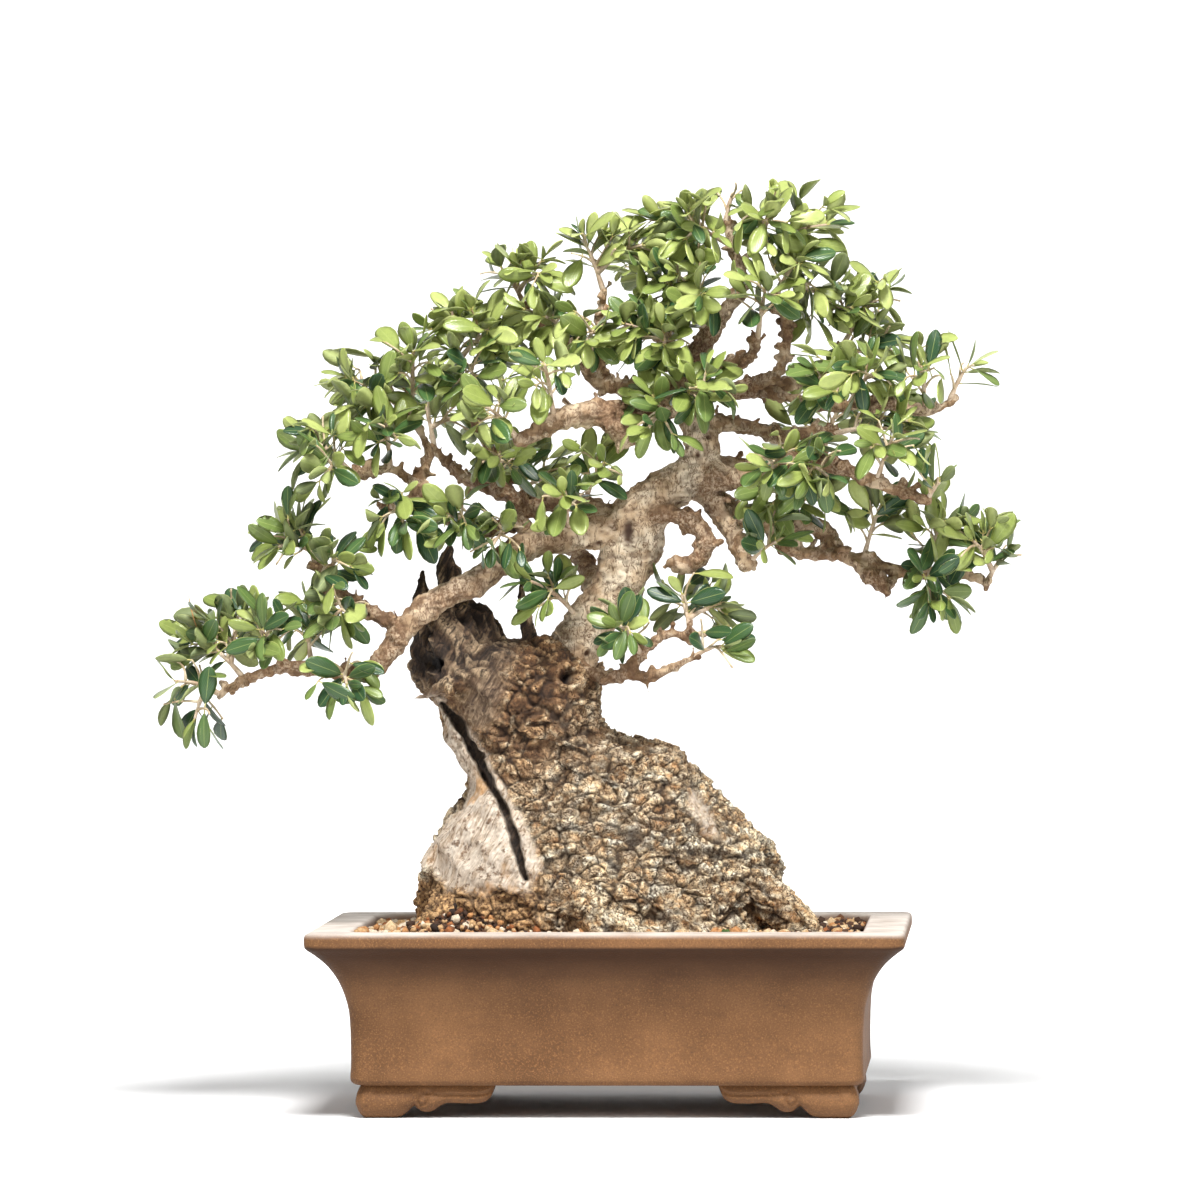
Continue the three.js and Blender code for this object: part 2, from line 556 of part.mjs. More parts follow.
/**
 * The line and the wood of a shoot that bows a little on its way from root to tip. A shoot that
 * would cross a neighbour past the share `free` of its length bows another way.
 */
function shootWood(root, tip, radius, free, obstacles) {
  const chord = tip.clone().sub(root);
  const length = chord.length();
  chord.normalize();
  const bow = new THREE.Vector3(0, 0, 1).addScaledVector(chord, -chord.z).normalize();
  for (let attempt = 0; attempt < TRIES; attempt++) {
    const middle = root.clone().lerp(tip, 0.5).addScaledVector(
      bow.clone().applyAxisAngle(chord, attempt * TURN_STEP),
      SHOOT_BOW * length * (1 + MORE_BOW * attempt));
    const line = new THREE.QuadraticBezierCurve3(root, middle, tip);
    const stretch = (from, grow) => limb([0, 0.5, 1].map((share) =>
      [...line.getPoint(from + (1 - from) * share), radius * (1 - SHOOT_TAPER * share)]),
    { sides: 3, lumps: 0, grow });
    const test = stretch(free, 2 * CLEARANCE);
    if (isClear(placed(test).box, test, obstacles)) return { line, length, wood: stretch(0, 0) };
  }
  return null;
}

/**
 * One shoot with its leaves, which stand on it in opposite pairs that turn a quarter from pair
 * to pair. A leaf that would cross a neighbour is turned about the shoot until it is clear.
 */
function makeShoot(root, tip, radius, free, obstacles, random) {
  const shoot = shootWood(root, tip, radius, free, obstacles);
  if (!shoot) return null;
  const leaves = [];
  const pairs = Math.min(MOST_PAIRS, 1 + Math.floor((shoot.length - BARE_START) / PAIR_SPACING));
  const turn = random() * Math.PI;
  for (let pair = 0; pair < pairs; pair++) {
    const share = TIP_PAIR - pair * PAIR_SPACING / shoot.length;
    const seat = shoot.line.getPoint(share);
    const ahead = shoot.line.getTangent(share);
    const face = seat.clone().sub(CROWN_MIDDLE).normalize().add(ahead).add(LIGHT);
    const level = new THREE.Vector3().crossVectors(ahead, face).normalize();
    for (const side of [0, 1]) {
      const length = LEAF_LENGTH * (1 + LEAF_SPREAD * (2 * random() - 1));
      const turned = turn + pair * Math.PI / 2 + side * Math.PI
        + TURN_SPREAD * (random() - 0.5);
      for (let attempt = 0; attempt < TRIES; attempt++) {
        const outward = level.clone().applyAxisAngle(ahead, turned + attempt * TURN_STEP);
        const along = ahead.clone().multiplyScalar(pair === 0 ? TIP_LEAN : LEAN)
          .add(outward).normalize();
        const test = solidOf(leaf(seat, along, face, length, 2 * CLEARANCE));
        if (isClear(placed(test).box, test, obstacles)) {
          leaves.push(solidOf(leaf(seat, along, face, length)));
          break;
        }
      }
    }
  }
  return { line: shoot.line, solid: joined([shoot.wood, ...leaves]) };
}

/** One spray: a shoot from its limb and the side shoots that leave it. */
function makeSpray([rootAt, tipAt, ...sideTips], number, trunkGrown, neighbours) {
  const random = randomFrom(1000 + 37 * number);
  const obstacles = [...neighbours, placed(trunkGrown)];
  const main = makeShoot(new THREE.Vector3(...rootAt), new THREE.Vector3(...tipAt),
    TWIG_RADIUS, SIDE_SHOOT, obstacles, random);
  const fork = main.line.getPoint(SIDE_SHOOT);
  const sides = sideTips.map((sideTip) => makeShoot(
    fork, new THREE.Vector3(...sideTip), SHOOT_RADIUS, SIDE_SHOOT_FREE, obstacles, random));
  const shoots = [main, ...sides].filter((shoot) => shoot !== null);
  return largestBody(joined(shoots.map(({ solid }) => solid)).subtract(trunkGrown));
}

// ---------------------------------------------------------------- soil

const HUMUS_HEAP = { x: -98, y: -66, reachX: 34, reachY: 26, height: 17 };
const MOUND = { x: 0, y: 0, reachX: 120, reachY: 90, height: 6 };
const SOIL_DEPTH = 110; // more than the pot holds, as the pot's inside cuts it to shape
const SOIL_COLUMNS = 10;
const SOIL_ROWS = 7;

/** Height of a heap at a place: it falls off from its middle as exp(-r^2). */
const heapHeight = (heap, x, y) => heap.height
  * Math.exp(-(((x - heap.x) / heap.reachX) ** 2) - (((y - heap.y) / heap.reachY) ** 2));

/** Height of the soil: level, heaped against the left of the trunk, and grainy. */
function soilHeight(x, y) {
  const grain = Math.sin(1.9 * x + 0.7 * y) * Math.cos(1.3 * y - 0.6 * x);
  return SOIL_LEVEL + heapHeight(HUMUS_HEAP, x, y) + heapHeight(MOUND, x, y) + GRAIN_RELIEF * grain;
}

/** The soil fills the pot round the buried stump and lies on the two screens. */
function makeSoil(trunkGrown, screens) {
  const [columns, rows] = [SOIL_COLUMNS, SOIL_ROWS];
  const top = new THREE.PlaneGeometry(RIM_LENGTH, RIM_DEPTH, columns, rows);
  const surface = top.attributes.position;
  for (let i = 0; i < surface.count; i++) {
    surface.setZ(i, soilHeight(surface.getX(i), surface.getY(i)));
  }
  const count = surface.count;
  const points = [];
  for (let i = 0; i < count; i++) {
    points.push(new THREE.Vector3().fromBufferAttribute(surface, i));
  }
  const edge = [];
  for (let c = 0; c < columns; c++) edge.push(c);
  for (let r = 0; r < rows; r++) edge.push(r * (columns + 1) + columns);
  for (let c = columns; c > 0; c--) edge.push(rows * (columns + 1) + c);
  for (let r = rows; r > 0; r--) edge.push(r * (columns + 1));
  const index = [...top.index.array];
  edge.forEach((at) => points.push(points[at].clone().setZ(SOIL_LEVEL - SOIL_DEPTH)));
  points.push(new THREE.Vector3(0, 0, SOIL_LEVEL - SOIL_DEPTH));
  edge.forEach((at, i) => {
    const next = (i + 1) % edge.length;
    index.push(at, edge[next], count + next, at, count + next, count + i);
    index.push(points.length - 1, count + i, count + next);
  });
  const block = solidOf(new THREE.BufferGeometry().setFromPoints(points).setIndex(index));
  return largestBody(joined([block])
    .intersect(potInside(CLEARANCE))
    .subtract(trunkGrown)
    .subtract(joined(screens)));
}

// ---------------------------------------------------------------- the plant

function material(colour, roughness) {
  return new THREE.MeshStandardMaterial({ color: colour, roughness, metalness: 0 });
}

function namedMesh(name, solid, finish) {
  const mesh = new THREE.Mesh(geometryOf(solid), finish);
  mesh.name = name;
  return mesh;
}

const bonsai = new THREE.Group();
bonsai.position.x = POT_CENTRE_X;
const tree = new THREE.Group();
tree.rotation.z = TREE_TURN;
bonsai.add(tree);

const stoneware = material('#8b6748', 0.75);
const plastic = material('#26282a', 0.6);
const mix = material('#a1845c', 0.95);
const wood = material('#b59a78', 0.9);
const foliage = material('#6c8f3e', 0.45);

const trunkGrown = makeTrunk(CLEARANCE);
const turned = new THREE.Matrix4().makeRotationZ(TREE_TURN);
bonsai.add(namedMesh('pot', makePot(), stoneware));
bonsai.add(namedMesh('drain_screen_left', makeScreen(-DRAIN_HOLE_X), plastic));
bonsai.add(namedMesh('drain_screen_right', makeScreen(DRAIN_HOLE_X), plastic));
const pocketTop = FLOOR_TOP + SCREEN_THICKNESS + 2 * CLEARANCE;
const pocketSize = SCREEN_SIZE + 2 * CLEARANCE;
const pockets = [-DRAIN_HOLE_X, DRAIN_HOLE_X].map((x) => solidOf(
  new THREE.BoxGeometry(pocketSize, pocketSize, POCKET_HEIGHT),
  new THREE.Matrix4().makeTranslation(x, 0, pocketTop - POCKET_HEIGHT / 2)));
bonsai.add(namedMesh('soil', makeSoil(solidOf(geometryOf(trunkGrown), turned), pockets), mix));
tree.add(namedMesh('trunk', largestBody(makeTrunk()), wood));

const neighbours = [];
SPRAYS.forEach((spray, number) => {
  const solid = makeSpray(spray, number, trunkGrown, neighbours);
  neighbours.push(placed(solid));
  tree.add(namedMesh(`spray_${String(number + 1).padStart(2, '0')}`, solid, foliage));
});

export default bonsai;
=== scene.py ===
"""The looks of an old olive bonsai in an oblong stoneware pot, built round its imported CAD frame.

Metres, +Z up, +X along the pot to the right, +Y away from its front. The tree is drawn in
millimetres in its own frame, with Z from the ground, and is turned a little in the pot.
"""

import itertools
import math

import bpy
import numpy as np
from mathutils import Matrix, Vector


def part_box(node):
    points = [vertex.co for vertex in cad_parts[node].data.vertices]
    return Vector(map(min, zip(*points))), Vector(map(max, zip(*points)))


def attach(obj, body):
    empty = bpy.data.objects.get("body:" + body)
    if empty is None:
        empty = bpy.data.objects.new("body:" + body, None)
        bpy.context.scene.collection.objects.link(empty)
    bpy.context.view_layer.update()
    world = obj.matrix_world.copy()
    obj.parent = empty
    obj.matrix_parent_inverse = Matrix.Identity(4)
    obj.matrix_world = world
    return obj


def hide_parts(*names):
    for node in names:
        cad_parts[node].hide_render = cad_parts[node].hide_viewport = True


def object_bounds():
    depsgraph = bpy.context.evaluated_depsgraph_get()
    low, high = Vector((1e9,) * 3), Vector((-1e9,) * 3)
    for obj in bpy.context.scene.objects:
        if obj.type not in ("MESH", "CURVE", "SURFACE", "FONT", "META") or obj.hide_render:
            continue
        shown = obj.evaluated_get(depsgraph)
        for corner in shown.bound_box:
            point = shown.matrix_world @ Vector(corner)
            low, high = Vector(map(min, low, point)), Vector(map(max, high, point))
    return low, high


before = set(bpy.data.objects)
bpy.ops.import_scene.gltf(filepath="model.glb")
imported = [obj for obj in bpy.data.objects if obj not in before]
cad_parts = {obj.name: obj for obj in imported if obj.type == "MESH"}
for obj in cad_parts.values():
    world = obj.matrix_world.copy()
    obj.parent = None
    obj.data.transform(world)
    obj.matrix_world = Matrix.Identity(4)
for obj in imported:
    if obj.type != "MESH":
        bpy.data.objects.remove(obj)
cad_box = [list(corner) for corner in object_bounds()]

# ---------------------------------------------------------------- camera, floor and light
# A long lens level with the crown, a pale sweep of paper under and behind the plant, a big soft
# light high in front, weaker ones on either side of the camera, and one on the paper behind.

MM = 0.001  # one millimetre in metres
pot_low, pot_high = (np.array(corner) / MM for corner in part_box("pot"))
pot_middle = (pot_low + pot_high) / 2
TREE_TURN = math.radians(3.3)
CAMERA_PLACE = (0.2952, -5.331, 0.4094)  # from the point on the ground under the pot's middle
CAMERA_TURN = math.radians(3.27)
CAMERA_TILT = math.radians(-0.693)
CAMERA_ROLL = -0.0037
CAMERA_LENS = 235.2

camera_data = bpy.data.cameras.new("camera")
camera_data.lens = CAMERA_LENS
camera_data.sensor_width = 36
camera_data.clip_end = 60
camera = bpy.data.objects.new("camera", camera_data)
bpy.context.scene.collection.objects.link(camera)
camera.matrix_world = (
    Matrix.Translation((pot_middle[0] * MM, pot_middle[1] * MM, 0))
    @ Matrix.Translation(CAMERA_PLACE)
    @ Matrix.Rotation(CAMERA_TURN, 4, "Z")
    @ Matrix.Rotation(math.pi / 2 + CAMERA_TILT, 4, "X")
    @ Matrix.Rotation(CAMERA_ROLL, 4, "Z")
)
bpy.context.scene.camera = camera
bpy.context.scene.view_settings.view_transform = "Standard"

SWEEP_WIDTH = 16.0
SWEEP_FRONT = -9.0
SWEEP_BACK = 5.4
SWEEP_RADIUS = 2.0
SWEEP_TOP = 7.0
WORLD_STRENGTH = 0.36


def new_object(name, points, face_groups, smooth=True):
    """A mesh object at the origin, from points (n, 3) and arrays of faces, each with one face size."""
    groups = [np.asarray(group, np.int32) for group in face_groups]
    sizes = np.concatenate([np.full(len(group), group.shape[1]) for group in groups])
    corners = np.concatenate([group.ravel() for group in groups])
    mesh = bpy.data.meshes.new(name)
    mesh.vertices.add(len(points))
    mesh.vertices.foreach_set("co", np.asarray(points, np.float32).ravel())
    mesh.loops.add(len(corners))
    mesh.loops.foreach_set("vertex_index", corners)
    mesh.polygons.add(len(sizes))
    mesh.polygons.foreach_set("loop_start", np.concatenate([[0], np.cumsum(sizes)[:-1]]).astype(np.int32))
    mesh.polygons.foreach_set("use_smooth", np.full(len(sizes), smooth))
    mesh.update(calc_edges=True)
    mesh.validate()
    made = bpy.data.objects.new(name, mesh)
    bpy.context.scene.collection.objects.link(made)
    return made


def paint(red, green, blue):
    """A colour of 0 to 255 per channel, as seen, as the linear colour that a shader takes."""
    share = np.array([red, green, blue]) / 255
    return (*(((share + 0.055) / 1.055) ** 2.4).tolist(), 1.0)


def add_node(tree, kind, inputs=(), **settings):
    """A shader node with its settings, and its input sockets set by name or number."""
    made = tree.nodes.new(kind)
    for key, value in settings.items():
        setattr(made, key, value)
    for key, value in dict(inputs).items():
        if isinstance(value, bpy.types.NodeSocket):
            tree.links.new(value, made.inputs[key])
        else:
            made.inputs[key].default_value = value
    return made


def new_material(name, roughness):
    """A material with one Principled shader; returns the material, its tree and the shader."""
    made = bpy.data.materials.new(name)
    made.use_nodes = True
    shader = made.node_tree.nodes["Principled BSDF"]
    shader.inputs["Roughness"].default_value = roughness
    return made, made.node_tree, shader


turn = np.linspace(0, math.pi / 2, 12)
sweep_y = np.concatenate([
    [SWEEP_FRONT], SWEEP_BACK + SWEEP_RADIUS * np.sin(turn), [SWEEP_BACK + SWEEP_RADIUS]])
sweep_z = np.concatenate([[0], SWEEP_RADIUS * (1 - np.cos(turn)), [SWEEP_TOP]])
half = SWEEP_WIDTH / 2
sweep_points = np.concatenate([
    np.stack([np.full_like(sweep_y, x), sweep_y, sweep_z], axis=1) for x in (-half, half)])
first = np.arange(len(sweep_y) - 1)
across = first + len(sweep_y)
sweep = new_object("paper_sweep", sweep_points, [np.stack([first, across, across + 1, first + 1], axis=1)])
paper, _, paper_shader = new_material("pale_paper", 0.9)
paper_shader.inputs["Base Color"].default_value = paint(246, 246, 246)
sweep.data.materials.append(paper)

world = bpy.data.worlds.new("studio")
world.use_nodes = True
world.node_tree.nodes["Background"].inputs["Color"].default_value = (1, 1, 1, 1)
world.node_tree.nodes["Background"].inputs["Strength"].default_value = WORLD_STRENGTH
bpy.context.scene.world = world


def soft_light(name, place, target, size, power):
    """A square area light of that size that faces its target."""
    data = bpy.data.lights.new(name, "AREA")
    data.shape = "SQUARE"
    data.size = size
    data.energy = power
    made = bpy.data.objects.new(name, data)
    made.location = place
    direction = Matrix.Translation(target).translation - made.location
    made.rotation_euler = direction.to_track_quat("-Z", "Y").to_euler()
    bpy.context.scene.collection.objects.link(made)


soft_light("high_in_front", (0.1, -1.25, 2.3), (0, 0, 0.3), 0.7, 92)
soft_light("front_left", (-2.2, -2.4, 1.2), (0, 0, 0.3), 1.0, 10)
soft_light("front_right", (2.3, -1.9, 1.4), (0, 0, 0.35), 1.0, 22)
soft_light("on_the_paper", (0, 2.3, 3.0), (0, 5.6, 0.7), 3.4, 300)

# ---------------------------------------------------------------- pot
# One fired piece of unglazed brown stoneware, pressed in a mould: a flat flange of a rim, walls
# that sweep in under it, and four L-shaped cloud feet luted on at the corners. The clay is full
# of fine ochre grog, and the rim has gone pale with hard water, with a painted highlight on what
# faces up there and painted shade on the walls under the flange.

POT_LENGTH, POT_DEPTH, _ = pot_high - pot_low
FOOT_HEIGHT = 22
FOOT_INSET = 31.5  # of a foot's corner, from the rim's outer edge
FOOT_THICKNESS = 17
FOOT_ROUNDING = 9  # of a foot's outer end, below
FOOT_SHOULDER = 16  # and above
FOOT_BULGE = 10  # height at which a foot bulges most
FOOT_NECK = 4.6  # how far its face draws in under the floor
FOOT_SINK = 7  # how far its top reaches into the floor
FOOT_TAIL = 4  # rounding of an arm's inner end
FOOT_LOBES = 61  # length of the two lobes of an arm
FOOT_STATIONS = 130
FOOT_SIDES = 44
SCROLL_DEPTH = 1.7
SCROLL_WIDTH = 1.2
FRONT_ARM = 94
SIDE_ARM = 76
DRAIN_HOLE_RADIUS = 9
DRAIN_HOLE_X = 85
DRAIN_SIDES = 32
DRAIN_CUT = (-4, 14)  # from below the floor's underside to above its top
POT_LEVELS = 150
SHARP_ANGLE = math.radians(32)  # between faces, past which an edge is shaded sharp

# The underside of a foot's front arm and the scroll in its face, (along, up) from its outer end:
# a bun on the ground, a smaller lobe just clear of it, and a web that curls up at its end.
FOOT_UNDERSIDE = [
    (0, 5), (3, 1.6), (7, 0), (16, 0), (25, 0), (30, 0.9), (34.5, 3.6), (37.6, 6.8), (39.6, 8.2),
    (41.4, 6.6), (44.6, 4.5), (48.6, 3.9), (52.6, 5), (56.6, 7.8), (61, 9.8), (68, 9.8), (76, 9.6),
    (84, 10), (88.5, 11.8), (91.6, 14.8), (94, 19)]
FOOT_SCROLL = [
    (93, 18.6), (86, 16), (76, 15.2), (66, 15.8), (57, 15.4), (50, 16.4), (44, 15.2), (41.6, 12),
    (43.6, 9.4), (47.4, 9.6), (48.6, 12)]

# Height, inset from the rim's edge and corner radius, from under the floor, up the outside,
# over the rim and down the inside to the floor.
POT_PROFILE = [
    (22, 70, 12), (22, 45, 12), (22, 33, 13), (22.2, 31.4, 12), (23.2, 29.6, 12), (25, 28.4, 11),
    (28, 28.2, 10), (34, 28.6, 10), (48, 28.6, 10), (62, 28.2, 10), (73, 27.2, 10), (85, 24, 10),
    (95, 19.5, 10), (103, 14, 9), (109, 7.8, 9), (112.4, 3.6, 9), (114, 1.4, 9), (115.4, 0.4, 9),
    (117.5, 0, 9), (121.5, 0, 9), (123.6, 0.5, 9), (124.7, 1.7, 9), (125, 3.4, 9), (125, 8, 10),
    (125, 20, 13), (125, 25.6, 14), (124.6, 27.6, 14), (123.4, 28.8, 15), (121, 29.6, 15), (112, 31, 15),
    (98, 34, 15), (80, 36, 15), (50, 37, 15), (38, 37.2, 15), (34, 38.4, 15), (32.3, 40.6, 15),
    (32, 44, 15), (32, 70, 12),
]


def smooth_line(points, count):
    """
    Points along a smooth curve through the given ones: cubic pieces whose slopes at each point
    are the finite differences over its two neighbours, spaced by the root of their distance.
    """
    points = np.asarray(points, float)
    spacing = np.sqrt(np.linalg.norm(np.diff(points[:, :3], axis=0), axis=1))
    at = np.concatenate([[0], np.cumsum(spacing)])
    slope = np.gradient(points, at, axis=0)
    wanted = np.linspace(0, at[-1], count)
    low = np.clip(np.searchsorted(at, wanted, side="right") - 1, 0, len(points) - 2)
    width = (at[low + 1] - at[low])[:, None]
    part = ((wanted - at[low])[:, None]) / width
    return (points[low] * (1 + 2 * part) * (1 - part) ** 2 + slope[low] * width * part * (1 - part) ** 2
            + points[low + 1] * part ** 2 * (3 - 2 * part) - slope[low + 1] * width * part ** 2 * (1 - part))


def rounded_rings(half_x, half_y, radius, corner_steps=8, side_steps=14):
    """
    Rounded rectangles (levels, points, 2) for arrays of half sizes and corner radii: a quarter
    circle about each corner's centre, and straight steps from one corner to the next.
    """
    angle = np.arange(4)[:, None] * math.pi / 2 + np.linspace(0, math.pi / 2, corner_steps + 1)
    sign = np.array([(1, 1), (-1, 1), (-1, -1), (1, -1)])
    inner = np.stack([half_x - radius, half_y - radius], axis=-1)[:, None, :] * sign
    spoke = np.stack([np.cos(angle), np.sin(angle)], axis=-1)
    arcs = inner[:, :, None, :] + radius[:, None, None, None] * spoke
    share = np.linspace(0, 1, side_steps + 1)[1:-1][:, None]
    leave, arrive = arcs[:, :, -1:, :], np.roll(arcs[:, :, :1, :], -1, axis=1)
    sides = leave + share * (arrive - leave)
    return np.concatenate([arcs, sides], axis=2).reshape(len(half_x), -1, 2)


def skin(rings, first_tip, last_tip):
    """
    Points and faces of a closed surface over rings (levels, points, 3) that run
    counter-clockwise seen against the direction of travel, closed on a point at either end.
    """
    levels, sides, _ = rings.shape
    at = np.arange(levels * sides).reshape(levels, sides)
    ahead = np.roll(at, -1, axis=1)
    quads = np.stack([at[:-1], ahead[:-1], ahead[1:], at[1:]], axis=-1).reshape(-1, 4)
    first = np.stack([ahead[0], at[0], np.full(sides, levels * sides)], axis=1)
    last = np.stack([at[-1], ahead[-1], np.full(sides, levels * sides + 1)], axis=1)
    points = np.concatenate([rings.reshape(-1, 3), [first_tip, last_tip]])
    return points, [quads, np.concatenate([first, last])]


def settle(piece):
    """Applies the piece's modifiers."""
    shaped = bpy.data.meshes.new_from_object(piece.evaluated_get(bpy.context.evaluated_depsgraph_get()))
    piece.modifiers.clear()
    old = piece.data
    piece.data = shaped
    bpy.data.meshes.remove(old)


def thinned(piece, triangles):
    """Collapses the piece's shortest edges until it has about that many triangles."""
    count = sum(len(face.vertices) - 2 for face in piece.data.polygons)
    collapse = piece.modifiers.new("thin", "DECIMATE")
    collapse.ratio = min(1, triangles / count)
    settle(piece)
    piece.data.polygons.foreach_set("use_smooth", np.ones(len(piece.data.polygons), bool))


def work_in(piece, tools, operation):
    """Joins closed meshes to a piece, or cuts them out of it, and removes them."""
    for tool in tools:
        modifier = piece.modifiers.new("work", "BOOLEAN")
        modifier.operation = operation
        modifier.solver = "MANIFOLD"
        modifier.object = tool
        settle(piece)
        bpy.data.objects.remove(tool)


def line_distance(points, line, count=40):
    """How far points (across, height) lie from a smooth line through the given ones."""
    dense = smooth_line(np.column_stack([line, np.zeros(len(line))]), count)[:, :2]
    start, along = dense[:-1], np.diff(dense, axis=0)
    away = points[:, None, :] - start[None]
    share = np.clip((away * along).sum(axis=2) / (along ** 2).sum(axis=1), 0, 1)
    return np.linalg.norm(away - share[:, :, None] * along, axis=2).min(axis=1)


def foot_arm(corner, side_x, side_y, length, sideways):
    """
    A foot's arm: rings |across / half|^p + |up / half|^p = 1 from the underside's line up into
    the floor, with p of 2.1 below and 3 above, carried along the arm and drawn in to a point
    at either end by a quarter circle. Its face draws in towards the floor by the power 1.5 of
    the height, with the scroll pressed into it as a bell-shaped groove. The arm leaves its
    corner along the pot's front, or sideways.
    """
    shorter = (length - FOOT_LOBES) / (FRONT_ARM - FOOT_LOBES)
    fitted = [np.array(line) * 1.0 for line in (FOOT_UNDERSIDE, FOOT_SCROLL)]
    for line in fitted:
        past = line[:, 0] > FOOT_LOBES
        line[past, 0] = FOOT_LOBES + (line[past, 0] - FOOT_LOBES) * shorter
    under = smooth_line(np.column_stack([fitted[0], np.zeros(len(fitted[0]))]), 160)
    along = length * (0.5 - 0.5 * np.cos(np.linspace(0.02, math.pi - 0.02, FOOT_STATIONS)))
    low = np.interp(along, under[:, 0], under[:, 1])
    outer, shoulder = (np.sqrt(1 - np.clip((radius - along) / radius, 0, 0.995) ** 2)
                       for radius in (FOOT_ROUNDING, FOOT_SHOULDER))
    inner = np.sqrt(1 - np.clip((along - length + FOOT_TAIL) / FOOT_TAIL, 0, 0.99) ** 2)
    middle = np.where(along < length / 2, FOOT_BULGE, FOOT_HEIGHT)
    bottom = middle - (middle - low) * outer * inner
    top = middle + (FOOT_HEIGHT + FOOT_SINK - middle) * shoulder * inner
    angle = np.linspace(0, 2 * math.pi, FOOT_SIDES, endpoint=False)
    power = np.where(np.cos(angle) < 0, 2 / 2.1, 2 / 3)
    up = np.sign(np.cos(angle)) * np.abs(np.cos(angle)) ** power
    inward = np.sign(np.sin(angle)) * np.abs(np.sin(angle)) ** power
    half = FOOT_THICKNESS / 2
    rings = np.stack(np.broadcast_arrays(
        along[:, None], ((top + bottom) / 2)[:, None] + ((top - bottom) / 2)[:, None] * up,
        half + half * (outer * inner)[:, None] * inward), axis=2)
    from_scroll = line_distance(rings[..., :2].reshape(-1, 2), fitted[1]).reshape(rings.shape[:2])
    drawn = FOOT_NECK * np.clip((rings[..., 1] - FOOT_BULGE) / (FOOT_HEIGHT - FOOT_BULGE), 0, 1.4) ** 1.5
    pressed = SCROLL_DEPTH * np.exp(-(from_scroll / SCROLL_WIDTH) ** 2)
    rings[..., 2] += (drawn + pressed) * (inward < 0) * outer[:, None]
    points, faces = skin(rings, (along[0], middle[0], half), (along[-1], middle[-1], half))
    points[:, 1] = np.maximum(points[:, 1], 0)
    along, inward = (points[:, 2], points[:, 0]) if sideways else (points[:, 0], points[:, 2])
    points = np.column_stack([corner[0] - side_x * along, corner[1] - side_y * inward, points[:, 1]])
    mirrored = (side_x == side_y) != sideways
    return new_object("foot", points * MM, [face[:, ::-1] for face in faces] if mirrored else faces)


profile = np.maximum(smooth_line(POT_PROFILE, POT_LEVELS), 0)
pot_rings = rounded_rings(POT_LENGTH / 2 - profile[:, 1], POT_DEPTH / 2 - profile[:, 1], profile[:, 2])
pot_heights = np.broadcast_to(profile[:, None, :1], (*pot_rings.shape[:2], 1))
pot_rings = np.concatenate([pot_rings, pot_heights], axis=2)
pot_rings[..., :2] += pot_middle[:2]
points, faces = skin(pot_rings, (*pot_middle[:2], profile[0, 0]), (*pot_middle[:2], profile[-1, 0]))
pot = new_object("stoneware_pot", points * MM, faces)

feet = []
for side_x, side_y in itertools.product((-1, 1), repeat=2):
    corner = pot_middle[:2] + np.array([side_x, side_y]) * (
        np.array([POT_LENGTH, POT_DEPTH]) / 2 - FOOT_INSET)
    feet.append(foot_arm(corner, side_x, side_y, FRONT_ARM, False))
    feet.append(foot_arm(corner, side_x, side_y, SIDE_ARM, True))
work_in(pot, feet, "UNION")

drains = []
angle = np.linspace(0, 2 * math.pi, DRAIN_SIDES, endpoint=False)
for side in (-1, 1):
    ring = np.stack([pot_middle[0] + side * DRAIN_HOLE_X + DRAIN_HOLE_RADIUS * np.cos(angle),
                     pot_middle[1] + DRAIN_HOLE_RADIUS * np.sin(angle)], axis=1)
    ends = FOOT_HEIGHT + np.array(DRAIN_CUT)
    rings = np.stack([np.column_stack([ring, np.full(DRAIN_SIDES, z)]) for z in ends])
    points, faces = skin(rings, (*ring.mean(axis=0), ends[0]), (*ring.mean(axis=0), ends[1]))
    drains.append(new_object("drain", points * MM, faces))
work_in(pot, drains, "DIFFERENCE")
pot.data.set_sharp_from_angle(angle=SHARP_ANGLE)


def object_place(tree):
    """Where the shaded point is, in metres."""
    return add_node(tree, "ShaderNodeTexCoord").outputs["Object"]


def stretched(tree, place, scale):
    """The place with each of its coordinates scaled."""
    return add_node(tree, "ShaderNodeMapping", {"Vector": place, "Scale": scale}).outputs["Vector"]


def texture(tree, place, scale, detail, roughness=0.5, distortion=0.0):
    """Cloudy noise at a place, mostly between 0.3 and 0.7, with that many finer layers."""
    return add_node(tree, "ShaderNodeTexNoise", {
        "Vector": place, "Scale": scale, "Detail": detail, "Roughness": roughness,
        "Distortion": distortion}).outputs["Fac"]


def ramp(tree, factor, *stops):
    """A colour ramp through (position, (red, green, blue)) stops."""
    made = add_node(tree, "ShaderNodeValToRGB", {"Fac": factor})
    while len(made.color_ramp.elements) < len(stops):
        made.color_ramp.elements.new(0.5)
    for element, (position, colour) in zip(made.color_ramp.elements, stops):
        element.position = position
        element.color = paint(*colour)
    return made.outputs["Color"]


def mixed(tree, factor, under, over, **settings):
    """Colour `over` laid on `under` where factor is 1; each is (red, green, blue) or a socket."""
    under, over = (paint(*colour) if isinstance(colour, tuple) else colour for colour in (under, over))
    inputs = {"Factor": factor, 6: under, 7: over}
    return add_node(tree, "ShaderNodeMix", inputs, data_type="RGBA", **settings).outputs[2]


def layered(tree, colour, *layers):
    """The colour with others laid over it in turn, each a pair of where (0 to 1) and what."""
    for factor, over in layers:
        colour = mixed(tree, factor, colour, over)
    return colour


def ranged(tree, value, low, high, to_low=0.0, to_high=1.0):
    """The value's range from low to high stretched to another range, and clamped."""
    return add_node(tree, "ShaderNodeMapRange", {
        "Value": value, "From Min": low, "From Max": high, "To Min": to_low,
        "To Max": to_high}).outputs["Result"]


def maths(tree, operation, *values):
    """One step of arithmetic on sockets and numbers."""
    return add_node(tree, "ShaderNodeMath", enumerate(values), operation=operation).outputs[0]


